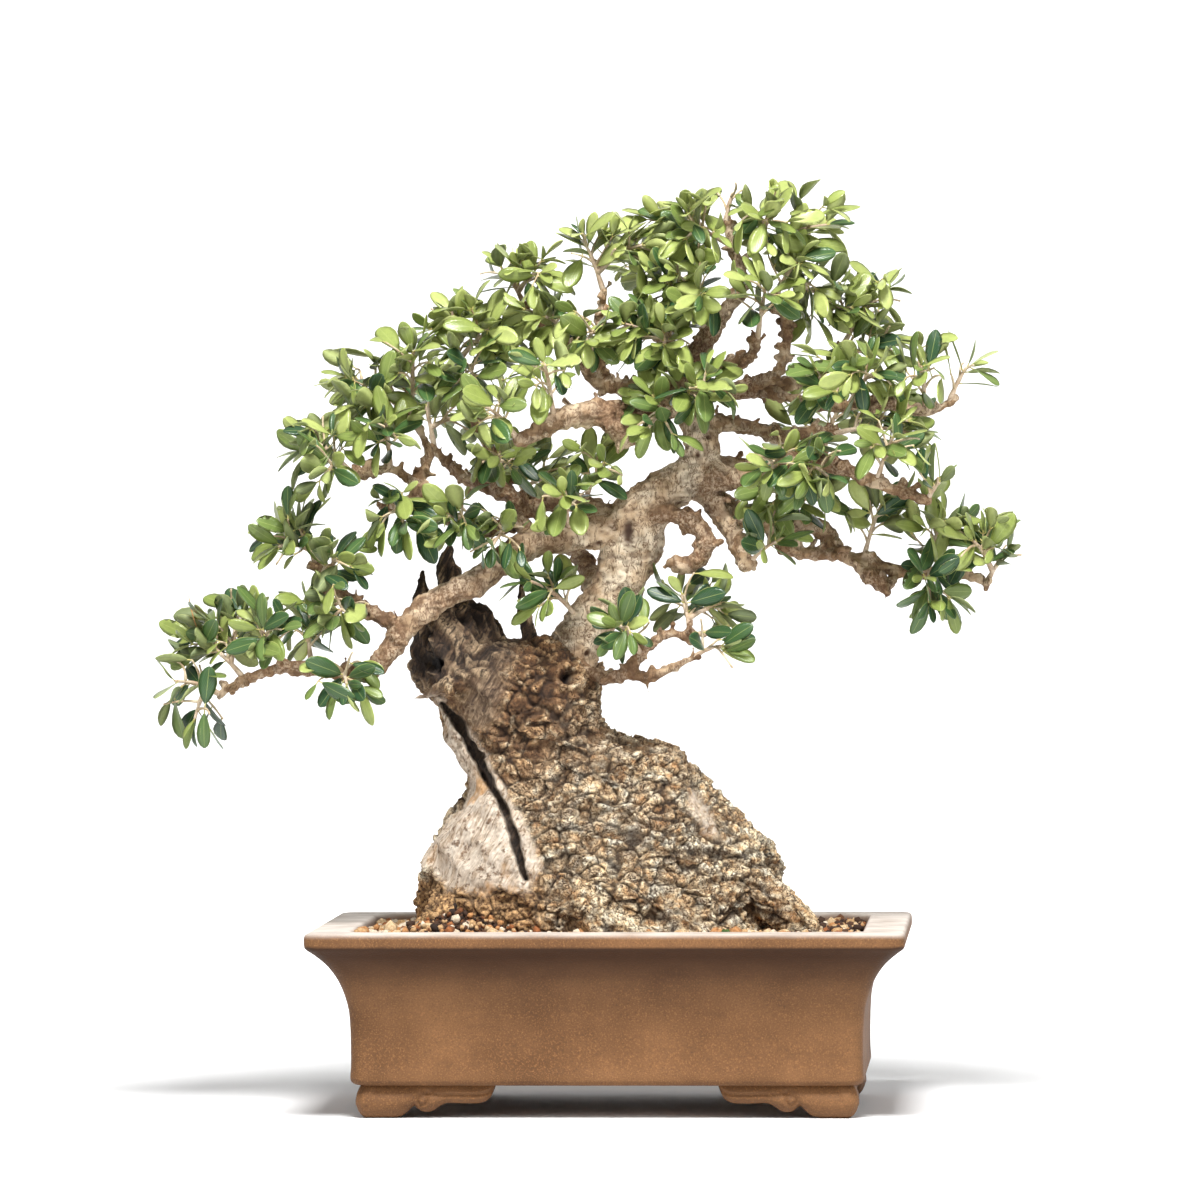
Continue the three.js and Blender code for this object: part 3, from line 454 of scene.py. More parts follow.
def times(tree, one, other):
    """The product of two sockets or numbers."""
    return maths(tree, "MULTIPLY", one, other)


def bumped(tree, height, strength, distance, under=None, **settings):
    """The surface's direction made rough by a height, on top of another such direction if given."""
    inputs = {"Height": height, "Strength": strength, "Distance": distance}
    if under is not None:
        inputs["Normal"] = under
    return add_node(tree, "ShaderNodeBump", inputs, **settings).outputs["Normal"]


def dress(tree, shader, colour, normal):
    """Links a colour and a surface direction to the shader."""
    tree.links.new(colour, shader.inputs["Base Color"])
    tree.links.new(normal, shader.inputs["Normal"])


stoneware, tree, shader = new_material("brown_stoneware", 0.6)
shader.inputs["Specular IOR Level"].default_value = 0.22
place = object_place(tree)
height = add_node(tree, "ShaderNodeSeparateXYZ", {"Vector": place}).outputs["Z"]
normal = add_node(tree, "ShaderNodeNewGeometry").outputs["Normal"]
facing_up = add_node(tree, "ShaderNodeSeparateXYZ", {"Vector": normal}).outputs["Z"]
smears = texture(tree, stretched(tree, place, (1, 1, 3.5)), 34, 4, 0.55)
grog = texture(tree, place, 950, 2, 0.6)
# hard-water lime and a painted highlight on what faces up at the rim, and painted shade under the flange
on_rim = times(tree, ranged(tree, height, 0.1145, 0.1215), ranged(tree, facing_up, 0.04, 0.98, 0.0, 0.82))
lime_and_painted_highlight = times(tree, on_rim, ranged(tree, smears, 0.3, 0.6, 0.55, 1.0))
painted_shade_under_flange = times(tree, ranged(tree, facing_up, -0.1, -0.5), ranged(tree, height, 0.08, 0.109, 0.25, 0.95))
clay = layered(
    tree, ramp(tree, texture(tree, place, 16, 5, 0.6), (0.35, (101, 69, 42)), (0.68, (130, 92, 59))),
    (ranged(tree, smears, 0.56, 0.74, 0.0, 0.5), (98, 68, 44)),
    (ranged(tree, grog, 0.53, 0.72, 0.0, 0.6), (164, 116, 72)),
    (ranged(tree, grog, 0.42, 0.3, 0.0, 0.5), (84, 60, 46)),
    # hard-water lime, with a painted highlight on what faces up at the rim
    (lime_and_painted_highlight, (224, 216, 206)),
    # painted shade: the clay made darker where it faces down under the flange
    (painted_shade_under_flange, (54, 31, 14)))
dress(tree, shader, clay, bumped(tree, smears, 0.25, 0.002, bumped(tree, grog, 0.5, 0.0007)))
pot.data.materials.clear()
pot.data.materials.append(stoneware)
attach(pot, "root")
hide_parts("pot")

# ---------------------------------------------------------------- drain screens
# A square of black polypropylene mesh laid over each drain hole inside the pot, so that the soil
# stays in: two layers of round threads, fused where they cross.

SCREEN_THREADS = 11
SCREEN_THREAD_RADIUS = 0.42
SCREEN_LAY = 0.75 * SCREEN_THREAD_RADIUS  # each layer's distance from the middle


def tubes(paths, radii, sides):
    """
    Points and faces of closed round tubes along paths (tubes, stations, 3) with radii (tubes,
    stations): each ring is centre + radius * (cos a * across + sin a * aside), where across
    is a fixed direction made square to the path, and each end is rounded off by a point.
    """
    ahead = np.gradient(paths, axis=1)
    ahead /= np.linalg.norm(ahead, axis=2, keepdims=True)
    trend = np.abs(ahead).mean(axis=1)
    fixed = np.eye(3)[np.argmin(trend, axis=1)][:, None, :]
    across = fixed - (fixed * ahead).sum(axis=2, keepdims=True) * ahead
    across /= np.linalg.norm(across, axis=2, keepdims=True)
    aside = np.cross(ahead, across)
    angle = np.linspace(0, 2 * math.pi, sides, endpoint=False)[:, None]
    spokes = np.cos(angle) * across[:, :, None, :] + np.sin(angle) * aside[:, :, None, :]
    rings = paths[:, :, None, :] + radii[:, :, None, None] * spokes
    first = paths[:, 0] - 0.6 * radii[:, :1] * ahead[:, 0]
    last = paths[:, -1] + 0.6 * radii[:, -1:] * ahead[:, -1]
    points, (quads, ends) = skin(rings[0], first[0], last[0])
    offsets = (np.arange(len(paths)) * len(points))[:, None, None]
    every = np.concatenate([rings.reshape(len(paths), -1, 3), first[:, None], last[:, None]], axis=1)
    return every.reshape(-1, 3), [(quads + offsets).reshape(-1, 4), (ends + offsets).reshape(-1, 3)]


plastic, tree, shader = new_material("black_mesh", 0.5)
scuffs = texture(tree, object_place(tree), 300, 3)
tree.links.new(ramp(tree, scuffs, (0.0, (26, 27, 28)), (1.0, (60, 58, 54))), shader.inputs["Base Color"])
for node in ("drain_screen_left", "drain_screen_right"):
    low, high = (np.array(corner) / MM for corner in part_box(node))
    size = high - low
    share = np.linspace(0.03, 0.97, SCREEN_THREADS)[:, None]
    reach = np.linspace(0, 1, 5)[None, :]
    middle = (low[2] + high[2]) / 2
    along_x = np.stack(np.broadcast_arrays(
        low[0] + reach * size[0], low[1] + share * size[1], middle - SCREEN_LAY), axis=2)
    along_y = np.stack(np.broadcast_arrays(
        low[0] + share * size[0], low[1] + reach * size[1], middle + SCREEN_LAY), axis=2)
    paths = np.concatenate([along_x, along_y])
    points, faces = tubes(paths, np.full(paths.shape[:2], SCREEN_THREAD_RADIUS), 6)
    mesh_square = new_object(node + "_mesh", points * MM, faces)
    mesh_square.data.materials.append(plastic)
    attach(mesh_square, "root")
    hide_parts(node)

# ---------------------------------------------------------------- soil
# Granular bonsai mix: a bed of tan and orange burnt clay with cream pumice, darker humus heaped
# against the left of the stump, and chips of bark on the right. The grains lie loose on the bed.

SOIL_LEVEL = 117.5
SOIL_FLOOR = 34.4
BED_INSET = 30.6  # of the bed's edge, from the rim's outer edge
BED_CORNER = 14
GRAIN_COUNT = 4300
GRAIN_SIZE = 4.6
HUMUS_COUNT = 1100
HUMUS_HEAP = (-98, -66, 34, 26)  # middle and reach of the heap, from the pot's middle
HEAP_HEIGHT = 17
HEAP_SPREAD = (30, 22)  # of its grains
HUMP = (6, 120, 90)  # height and reach of the low rise round the tree
STUMP_FOOT = (116, 79)  # half sizes of the room that holds no grains, under the stump
MOSS = (78, -92, 16)  # middle and reach
CHIPS_FROM = 120  # half of the grains to the right of this are chips of bark

# Clay from brown to tan, and pumice: a grain's place between humus at 0 and moss at 1, and the
# share of the grains that lie there.
GRAIN_KINDS = [(0.3, 0.14), (0.42, 0.18), (0.55, 0.24), (0.68, 0.24), (0.8, 0.2)]


def scatter(i, j, k, seed):
    """A number between 0 and 1 for each whole-number place: the place's bits mixed three times."""
    bits = (i * 73856093) ^ (j * 19349663) ^ (k * 83492791) ^ (seed * 29712151)
    bits = ((bits & 0xFFFFFFFF) ^ ((bits & 0xFFFFFFFF) >> 15)) * 224682251
    bits = ((bits & 0xFFFFFFFF) ^ ((bits & 0xFFFFFFFF) >> 13)) * 326648991
    return ((bits & 0xFFFFFFFF) ^ ((bits & 0xFFFFFFFF) >> 16)) / 0xFFFFFFFF


def noise(points, size, seed):
    """Smooth noise from -1 to 1: random values on a lattice of that size, blended by a cubic step."""
    cell = points / size
    low = np.floor(cell).astype(np.int64)
    part = cell - low
    part = part * part * (3 - 2 * part)
    total = np.zeros(len(points))
    for corner in itertools.product((0, 1), repeat=3):
        weight = np.prod(np.where(corner, part, 1 - part), axis=1)
        total += weight * scatter(*(low + corner).T, seed)
    return 2 * total - 1


def soil_height(x, y):
    """
    The bed's height from the pot's middle: level, with the heap and a low hump as bell curves
    and a ripple of sines for its grain.
    """
    heap_x, heap_y, heap_wide, heap_deep = HUMUS_HEAP
    heap = HEAP_HEIGHT * np.exp(-((x - heap_x) / heap_wide) ** 2 - ((y - heap_y) / heap_deep) ** 2)
    hump = HUMP[0] * np.exp(-((x / HUMP[1]) ** 2) - (y / HUMP[2]) ** 2)
    ripple = 1.3 * np.sin(1.9 * x + 0.7 * y) * np.cos(1.3 * y - 0.6 * x)
    return SOIL_LEVEL + heap + hump + ripple


def heap_distance(seats):
    """How far places are from the heap's middle, as a share of its reach."""
    return np.hypot(*((seats - HUMUS_HEAP[:2]) / HUMUS_HEAP[2:]).T)


def give(piece, domain="POINT", **values):
    """Stores numbers for each point or face of the piece as named attributes."""
    for name, numbers in values.items():
        made = piece.data.attributes.new(name, "FLOAT", domain)
        made.data.foreach_set("value", numbers.astype(np.float32))


def number(tree, name):
    """The piece's own numbers of that name, as a socket."""
    return add_node(tree, "ShaderNodeAttribute", attribute_name=name).outputs["Fac"]


bed_half = np.array([POT_LENGTH, POT_DEPTH]) / 2 - BED_INSET
share = np.concatenate([[0.3, 0.965], np.full(6, 0.985), np.linspace(0.99, 0.06, 46)])
flat = rounded_rings(
    bed_half[0] * share, bed_half[1] * share, BED_CORNER * share, corner_steps=6, side_steps=26)
wall = np.concatenate([[SOIL_FLOOR, SOIL_FLOOR], np.linspace(SOIL_FLOOR + 4, SOIL_LEVEL - 4, 6)])
draw = np.interp(wall, [SOIL_FLOOR, 90, SOIL_LEVEL - 4], [7, 5, 1])
flat[:len(wall)] *= (1 - draw / bed_half.min())[:, None, None]
top = soil_height(flat[len(wall):, :, 0], flat[len(wall):, :, 1])
level = np.concatenate([np.broadcast_to(wall[:, None], (len(wall), flat.shape[1])), top])
rings = np.concatenate([flat + pot_middle[:2], level[:, :, None]], axis=2)
points, faces = skin(rings, (*pot_middle[:2], SOIL_FLOOR), (*pot_middle[:2], soil_height(0, 0)))
points[:, 2] += np.where(points[:, 2] > SOIL_LEVEL - 4, 0.7 * noise(points, 3.1, 5), 0)
soil_bed = new_object("soil_bed", points * MM, faces)
give(soil_bed, kind=0.12 + 0.18 * np.clip(heap_distance(points[:, :2] - pot_middle[:2]) - 0.6, 0, 1))

# The grains: icosahedra, whose corners share an edge where they are less than 1.2 apart. The
# corners are moved in and out, and each grain is stretched and turned at random.
rng = np.random.default_rng(21)
seat = rng.uniform(-1, 1, (GRAIN_COUNT, 2)) * (bed_half - 2)
heap_seat = rng.normal(size=(HUMUS_COUNT, 2)) * HEAP_SPREAD + HUMUS_HEAP[:2]
seat = np.concatenate([seat, np.clip(heap_seat, 3 - bed_half, bed_half - 3)])
under_stump = (np.abs(seat / STUMP_FOOT) ** 2.3).sum(axis=1) < 1
is_humus = (np.arange(len(seat)) >= GRAIN_COUNT)[~under_stump]
seat = seat[~under_stump]
count = len(seat)
golden = (1 + math.sqrt(5)) / 2
knob = np.array([(0, 1, golden), (0, -1, golden), (0, 1, -golden), (0, -1, -golden)])
knob = np.concatenate([np.roll(knob, turn, axis=1) for turn in range(3)]) / math.hypot(1, golden)
apart = np.linalg.norm(knob[:, None] - knob[None], axis=2)
knob_faces = np.array([face for face in itertools.combinations(range(len(knob)), 3)
                       if apart[np.ix_(face, face)].max() < 1.2])
one, two, three = knob[knob_faces.T]
turned_in = (np.cross(two - one, three - one) * one).sum(axis=1) < 0
knob_faces[turned_in] = knob_faces[turned_in][:, ::-1]

size = GRAIN_SIZE * np.exp(0.28 * rng.normal(size=count)) * np.where(is_humus, 0.55, 1)
shape = rng.uniform(0.62, 1.25, (count, 1, 3)) * np.where(is_humus[:, None, None], (1.5, 0.8, 0.7), 1)
frames, _ = np.linalg.qr(rng.normal(size=(count, 3, 3)))
frames *= np.linalg.det(frames)[:, None, None]
uneven = 1 + 0.16 * rng.uniform(-1, 1, (count, len(knob), 1))
grains = (knob * uneven * shape * size[:, None, None] / 2) @ frames
sunk = soil_height(seat[:, 0], seat[:, 1]) + size * rng.uniform(0.05, 0.42, count)
grains += np.column_stack([seat + pot_middle[:2], sunk])[:, None, :]
offsets = (np.arange(count) * len(knob))[:, None, None]
soil_grains = new_object(
    "soil_grains", grains.reshape(-1, 3) * MM, [(knob_faces + offsets).reshape(-1, 3)])

# What each grain is made of: humus in the heap, bark chips on the right, and clay and pumice
# elsewhere.
places, shares = zip(*GRAIN_KINDS)
kind = rng.choice(places, count, p=shares)
buried = rng.uniform(size=count) < 0.75 * np.exp(-heap_distance(seat) ** 2)
chip = (seat[:, 0] > CHIPS_FROM) & (rng.uniform(size=count) < 0.5)
kind = np.where(is_humus | buried | chip, rng.uniform(0.02, 0.26, count), kind)
mossy = np.hypot(*(seat - MOSS[:2]).T) < MOSS[2] * rng.uniform(0.3, 1, count)
kind = np.where(mossy, 0.97, kind)
give(soil_grains, kind=np.repeat(kind, len(knob)))

mix, tree, shader = new_material("bonsai_mix", 0.9)
tones = ramp(
    tree, number(tree, "kind"), (0.0, (38, 26, 20)), (0.2, (92, 62, 42)), (0.3, (168, 104, 58)),
    (0.42, (206, 150, 96)), (0.55, (220, 180, 130)), (0.68, (236, 206, 162)), (0.8, (246, 230, 204)),
    (0.9, (246, 230, 204)), (0.96, (74, 104, 44)))
fine = texture(tree, object_place(tree), 620, 4, 0.65)
shade = ramp(tree, fine, (0.3, (150, 138, 126)), (0.7, (255, 255, 255)))
dress(tree, shader, mixed(tree, 0.9, tones, shade, blend_type="MULTIPLY"), bumped(tree, fine, 0.6, 0.0008))
for piece in (soil_bed, soil_grains):
    piece.data.materials.append(mix)
    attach(piece, "root")
    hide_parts("soil")

# ---------------------------------------------------------------- stump
# The old base of the tree, cut down long ago and grown fat: cork bark in flakes and plates, split
# by furrows, over a core that is bare and bleached down its left side. The crack between bark and
# bare wood is open, and the left shoulder is rotted out round a dark hollow.

# Height, left edge, right edge and half depth of the stump and of its left shoulder.
STUMP = [
    (88, -112, 102, 72), (117, -130, 121, 89), (134, -132, 117, 90), (150, -132, 113, 88),
    (163, -133, 111, 84), (179, -128, 105, 80), (193, -118, 91, 75), (207, -105, 73, 69),
    (221, -98, 62, 64), (234, -103, 52, 60), (244, -108, 43, 55), (250, -112, 24, 53),
    (255, -114, 4, 51), (267, -118, -6, 50), (283, -129, -8, 48), (299, -138, -9, 44),
    (311, -137, -22, 38), (318, -130, -40, 29)]
SHOULDER = [
    (292, -136, -66, 40), (306, -139, -70, 37), (319, -137, -75, 33), (331, -132, -80, 28),
    (340, -126, -86, 22), (346, -118, -94, 13)]
SQUARENESS = 2 / 2.3
ROOTS = [
    [(94, 22, 146, 24), (120, 34, 126, 13), (138, 42, 100, 8)],
    [(84, -46, 156, 22), (112, -58, 134, 11), (136, -66, 106, 7)],
    [(-10, -58, 136, 34), (-8, -78, 122, 22), (-6, -94, 100, 12)],
    [(-98, -34, 138, 30), (-116, -46, 122, 20), (-132, -54, 100, 12)],
    [(-96, 36, 138, 28), (-118, 48, 122, 18), (-134, 54, 100, 11)],
    [(20, 58, 138, 32), (24, 78, 120, 20), (28, 93, 100, 11)]]
# Surface roots with pale skin at the foot of the stump.
PALE_ROOTS = [
    [(98, -50, 156, 7), (114, -60, 146, 7), (128, -67, 133, 6), (138, -70, 121, 5), (144, -72, 108, 4)],
    [(-24, -78, 152, 7), (-22, -87, 144, 10), (-18, -91, 134, 10.5), (-16, -90, 122, 9)],
    [(-2, -84, 134, 7), (10, -91, 124, 7), (22, -94, 119, 6), (36, -92, 114, 4)],
    [(40, -80, 138, 6), (50, -84, 128, 6.5), (58, -86, 116, 5)]]
# Dead stubs and splinters on the shoulder and beside the upper trunk.
JINS = [
    [(-126, -2, 318, 11), (-130, -3, 336, 9.5), (-131, -2, 352, 7.6), (-129, 0, 367, 3.4)],
    [(-110, 4, 332, 13), (-112, 5, 352, 11.5), (-114, 6, 369, 9.4), (-112, 6, 384, 4)],
    [(-56, -2, 306, 8), (-59, -4, 326, 6.6), (-63, -4, 343, 5.8), (-63, -2, 359, 3.2)],
    [(-96, -38, 296, 9), (-114, -40, 288, 6.5), (-128, -37, 281, 3.4), (-137, -34, 279, 1.4)]]
ROOT_STATIONS = 20
VOXEL = 1.1
SMOOTHING_ROUNDS = 5
MOST_TRIANGLES = 190000

# Lines down the front of the stump, seen from the front: (across, height) points, then the
# half width and the depth of the furrow there.
CRACK = [(-118, 275), (-107, 262), (-93, 238), (-82, 217), (-72, 199), (-66, 179), (-60, 158)]
CRACK_HEIGHTS = (156, 172, 190, 215, 240, 262, 276)
CRACK_HALF_WIDTHS = (1.2, 2.8, 3.4, 3.0, 4.2, 4.4, 2.4)
CRACK_DEPTH = 10
FURROWS = [
    ([(-93, 240), (-59, 246), (-36, 251), (-14, 262)], 2.4, 3.2),
    ([(-43, 213), (-32, 228), (-17, 244)], 2.0, 3.0),
    ([(-50, 206), (-17, 202), (6, 203), (19, 195), (46, 189), (64, 192)], 2.2, 3.4),
    ([(-34, 171), (-18, 184), (-4, 193), (12, 187), (30, 178), (62, 176), (96, 168), (114, 164)], 3.0, 4.6),
    ([(46, 244), (52, 228), (54, 218), (66, 202), (79, 188)], 2.2, 3.4),
    ([(4, 176), (1, 157), (-6, 130), (-2, 118)], 2.4, 3.8),
    ([(-128, 156), (-110, 148), (-85, 143), (-50, 148), (-34, 146), (-30, 132), (-34, 120)], 2.6, 3.2),
    ([(30, 160), (52, 154), (76, 158), (104, 150)], 2.2, 3.2),
    ([(42, 136), (70, 130), (92, 137), (112, 128)], 2.4, 3.6),
    ([(-66, 262), (-46, 276), (-44, 296), (-56, 314)], 2.2, 2.6),
    ([(20, 243), (12, 226), (18, 212), (10, 203)], 1.8, 2.6),
]
HOLLOW = ((-128, -30, 304), (13, 16, 15))  # middle and reach of the rotted hollow
KNOT = (-30, 294)  # (across, height) of the healed ring where a branch once grew


def loft(outline, sides, levels):
    """
    A body of level rings, each a squared-off oval between its left and right edges, rippled
    by three sines that stand for old plates and furrows.
    """
    rows = smooth_line(outline, levels)
    angle = np.linspace(0, 2 * math.pi, sides, endpoint=False)[None, :]
    z, left, right, half_depth = (column[:, None] for column in rows.T)
    ripple = (2.2 * np.sin(3 * angle + z / 24) + 2.4 * np.sin(8 * angle - z / 12 + 1.3)
              + 2.0 * np.sin(13 * angle + z / 5) * np.cos(z / 9))
    across = np.sign(np.cos(angle)) * np.abs(np.cos(angle)) ** SQUARENESS
    back = np.sign(np.sin(angle)) * np.abs(np.sin(angle)) ** SQUARENESS
    across = (left + right) / 2 + across * ((right - left) / 2 + ripple)
    rings = np.stack(np.broadcast_arrays(across, back * (half_depth + ripple), z), axis=2)
    return skin(rings, rings[0].mean(axis=0), rings[-1].mean(axis=0) + (0, 0, 2))


def limb_lines(limbs, stations):
    """Paths (limbs, stations, 3) and radii (limbs, stations) through (x, y, z, radius) points."""
    lines = np.stack([smooth_line(points, stations) for points in limbs])
    return lines[:, :, :3], np.maximum(lines[:, :, 3], 0.8)


def melted(name, bodies, voxel, rounds):
    """
    One closed skin round overlapping bodies: remeshed on a lattice of that size in millimetres,
    then smoothed in rounds that move each point most of the way to its neighbours' mean.
    """
    groups = [[group + sum(len(points) for points, _ in bodies[:at]) for group in faces]
              for at, (_, faces) in enumerate(bodies)]
    points = np.concatenate([points for points, _ in bodies])
    made = new_object(name, points * MM, [group for faces in groups for group in faces])
    remesh = made.modifiers.new("melt", "REMESH")
    remesh.mode = "VOXEL"
    remesh.voxel_size = voxel * MM
    settle(made)
    co = mesh_points(made)
    ends = np.empty(len(made.data.edges) * 2, np.int32)
    made.data.edges.foreach_get("vertices", ends)
    one, other = ends.reshape(-1, 2).T
    share = 1 / np.maximum(np.bincount(ends, minlength=len(co)), 1)[:, None]
    for _ in range(rounds):
        pull = np.stack([
            np.bincount(one, co[other, axis], len(co)) + np.bincount(other, co[one, axis], len(co))
            for axis in range(3)], axis=1)
        co = 0.4 * co + 0.6 * pull * share
    set_points(made, co)
    return made


def mesh_points(piece):
    """The piece's points in millimetres."""
    co = np.empty(len(piece.data.vertices) * 3, np.float32)
    piece.data.vertices.foreach_get("co", co)
    return co.reshape(-1, 3).astype(float) / MM


def set_points(piece, points):
    """Moves the piece's points; millimetres."""
    piece.data.vertices.foreach_set("co", (points * MM).astype(np.float32).ravel())
    piece.data.update()


def mesh_normals(piece):
    """The piece's outward directions at its points."""
    out = np.empty(len(piece.data.vertices) * 3, np.float32)
    piece.data.vertex_normals.foreach_get("vector", out)
    return out.reshape(-1, 3).astype(float)


def step(value, low, high):
    """0 below low, 1 above high and a smooth cubic between; it falls where low is above high."""
    part = np.clip((value - low) / (high - low), 0, 1)
    return part * part * (3 - 2 * part)


def flakes(points, size, seed):
    """
    Cells round points strewn one to a lattice cube (Worley's pattern): how far each place is
    from its own cell's point, how far from a border, both in cells, and its cell's number.
    """
    cell = points / size
    low = np.floor(cell).astype(np.int64)
    nearest = np.full(len(points), 9.0)
    second = nearest.copy()
    own = np.zeros(len(points))
    for offset in itertools.product((-1, 0, 1), repeat=3):
        at = low + offset
        seat = at + np.stack([scatter(*at.T, seed + axis) for axis in range(3)], axis=1)
        away = np.linalg.norm(cell - seat, axis=1)
        closer = away < nearest
        second = np.where(closer, nearest, np.minimum(second, away))
        own = np.where(closer, scatter(*at.T, seed + 3), own)
        nearest = np.where(closer, away, nearest)
    return nearest, second - nearest, own


def potted(points):
    """Tree-frame millimetres as they stand in the pot: turned by TREE_TURN and moved to its middle."""
    cosine, sine = math.cos(TREE_TURN), math.sin(TREE_TURN)
    return np.column_stack([
        cosine * points[:, 0] - sine * points[:, 1] + pot_middle[0],
        sine * points[:, 0] + cosine * points[:, 1] + pot_middle[1], points[:, 2]])


def unpotted(points):
    """Points in the pot, in millimetres, back in the tree's own frame."""
    cosine, sine = math.cos(TREE_TURN), math.sin(TREE_TURN)
    x, y = points[:, 0] - pot_middle[0], points[:, 1] - pot_middle[1]
    return np.column_stack([cosine * x + sine * y, cosine * y - sine * x, points[:, 2]])


def noises(points, size, seed):
    """A vector of three noises, with seeds in a row, for each point."""
    return np.stack([noise(points, size, seed + axis) for axis in range(3)], axis=1)


root_paths, root_radii = limb_lines(ROOTS, ROOT_STATIONS)
jin_paths, jin_radii = limb_lines(JINS, ROOT_STATIONS)
pale_paths, pale_radii = limb_lines(PALE_ROOTS, ROOT_STATIONS)
stump = melted("stump", [
    loft(STUMP, 160, 120), loft(SHOULDER, 90, 34), tubes(root_paths, root_radii, 24),
    tubes(jin_paths, jin_radii, 14), tubes(pale_paths, pale_radii, 14)], VOXEL, SMOOTHING_ROUNDS)
at = mesh_points(stump)
out = mesh_normals(stump)
x, y, z = at.T
front = step(y, 6, -14)
bark_warp = at + 4 * noises(at, 15, 31)

# Where the bark is gone. Bare wood: left of the crack down to a ragged lower edge, a strip along
# its right side, and a grey patch on the right. Smooth grey wood and rot: under and on the shoulder.
ragged = 4 * noise(at, 11, 41) + 2 * noise(at, 4.5, 42)
crack_across, crack_up = zip(*CRACK[::-1])
crack_x = np.interp(z, crack_up, crack_across)
lower_edge = np.interp(x, [-132, -118, -85, -58, -44], [166, 154, 148, 152, 172])
reach_right = np.interp(z, [150, 175, 205, 240, 275], [20, 13, 9, 6, 4])
shari = (front * step(x - crack_x - 0.6 * ragged, reach_right + 3, reach_right - 3)
         * step(z + ragged, lower_edge - 3, lower_edge + 5) * step(z, 286, 274))
patch = 0.8 * front * step(np.hypot((x - 60 - 0.55 * (203 - z)) / 7, (z - 203) / 16) + ragged / 14, 1.2, 0.7)
smooth = front * step(np.hypot((x + 88 - 0.35 * (z - 283)) / 14, (z - 283) / 24) + ragged / 12, 1.5, 0.5)
pale_root = np.linalg.norm(at[:, None] - pale_paths.reshape(-1, 3)[None, ::3], axis=2).min(axis=1)
pale_root = step(pale_root + 0.5 * ragged, 12.5, 8)
hollow_away = np.linalg.norm((at - HOLLOW[0]) / HOLLOW[1], axis=1) + ragged / 26
rot = np.maximum(step(hollow_away, 2.1, 1.1),
                 step(z + 1.5 * ragged - 0.35 * (x + 100), 286, 300) * step(x + 1.5 * ragged, -54, -72))
rot = np.maximum(rot, step(np.hypot(x + 60, y + 3), 14, 9) * step(z, 312, 322))
bare = np.clip(np.maximum(shari, patch), 0, 1)
calm = 1 - np.clip(np.max([bare, 0.85 * smooth, 0.8 * rot, 0.55 * pale_root], axis=0), 0, 1)

# Cork: broad folds, plates and flakes at heights of their own, with narrow winding gaps.
folds = 3.4 * noise(at * (0.8, 1, 1.3), 36, 51) + 2.4 * noise(at, 16, 52)
_, plate_edge, plate_tone = flakes(bark_warp * (0.75, 0.9, 1.2), 13, 61)
crumpled = bark_warp + 2.8 * noises(at, 5, 34)
_, flake_edge, flake_tone = flakes(crumpled * (0.8, 1, 1.2), 6.4, 71)
plate_gap = step(plate_edge, 0.11, 0.03)
flake_gap = step(flake_edge, 0.17, 0.04) * step(noise(at, 9, 79), -0.4, 0.2)
crease = np.maximum(step(np.abs(noise(bark_warp * (0.8, 1, 1.2), 8, 87)), 0.13, 0.03),
                    0.8 * step(np.abs(noise(crumpled, 4.4, 78)), 0.14, 0.04))
grain = noise(at * (1, 1, 0.12), 2.6, 81)
rise = calm * (
    folds - 2.1 * plate_gap + 1.6 * (plate_tone - 0.5) - 1.3 * flake_gap + 1.8 * (flake_tone - 0.5)
    - 1.3 * crease + 1.0 * noise(at, 2.7, 82) + 1.1 * noise(at, 5.5, 76) - 0.4)

# Bare wood: low swells and dents; rot: strands that swirl.
dents = step(noise(at, 6, 101), 0.2, 0.6) + 0.6 * step(noise(at, 3.4, 102), 0.3, 0.6)
rise += (1 - calm) * (1.6 * noise(at, 26, 83) + 0.9 * noise(at * (1, 1, 0.4), 9, 89) + 0.3 * grain - 1.1)
rise -= 1.3 * bare * dents
swirl = at + 9 * noises(at, 24, 97)
strands = 0.6 * noise(swirl * (1, 1, 0.22), 6, 84) + 0.5 * noise(swirl * (1, 1, 0.16), 2.8, 80)
rise += rot * (3.6 * strands - 1.2)

# Furrows, the open crack, the hollow, and the knot with its callus ring.
# the gaps' dark: the fissures' own darker bark, deepened with painted shade
dark = calm * np.max([0.85 * plate_gap, 0.6 * flake_gap, 0.5 * crease], axis=0)
seen = at[:, [0, 2]] + np.column_stack([1.8 * noise(at, 9, 85), 1.8 * noise(at, 9, 86)])
for line, half_width, depth in FURROWS:
    gap = front * step(line_distance(seen, line), 1.25 * half_width, 0.3 * half_width)
    rise -= 0.6 * depth * gap
    dark = np.maximum(dark, gap * np.clip(0.45 + 0.5 * noise(at, 4, 75), 0, 1))
from_crack = line_distance(at[:, [0, 2]] + 0.5 * (seen - at[:, [0, 2]]), CRACK, 80)
half_crack = np.interp(z, CRACK_HEIGHTS, CRACK_HALF_WIDTHS)
slit = front * step(from_crack + 0.28 * ragged, 1.2 * half_crack, 0.6 * half_crack)
cavity = step(hollow_away, 1.05, 0.55)
rise -= 10 * cavity
knot_away = np.hypot(x - KNOT[0], z - KNOT[1]) + 0.3 * ragged
callus = front * np.exp(-((knot_away - 8.6) / 2.4) ** 2)
knot_hole = front * step(knot_away, 6.4, 4.4)
rise += 4.2 * callus - 9 * knot_hole
# painted shade: the knot's hole painted dark
dark = np.maximum(dark * (1 - callus), knot_hole)
set_points(stump, potted(at + out * rise[:, None] + slit[:, None] * (0, CRACK_DEPTH, 0)))
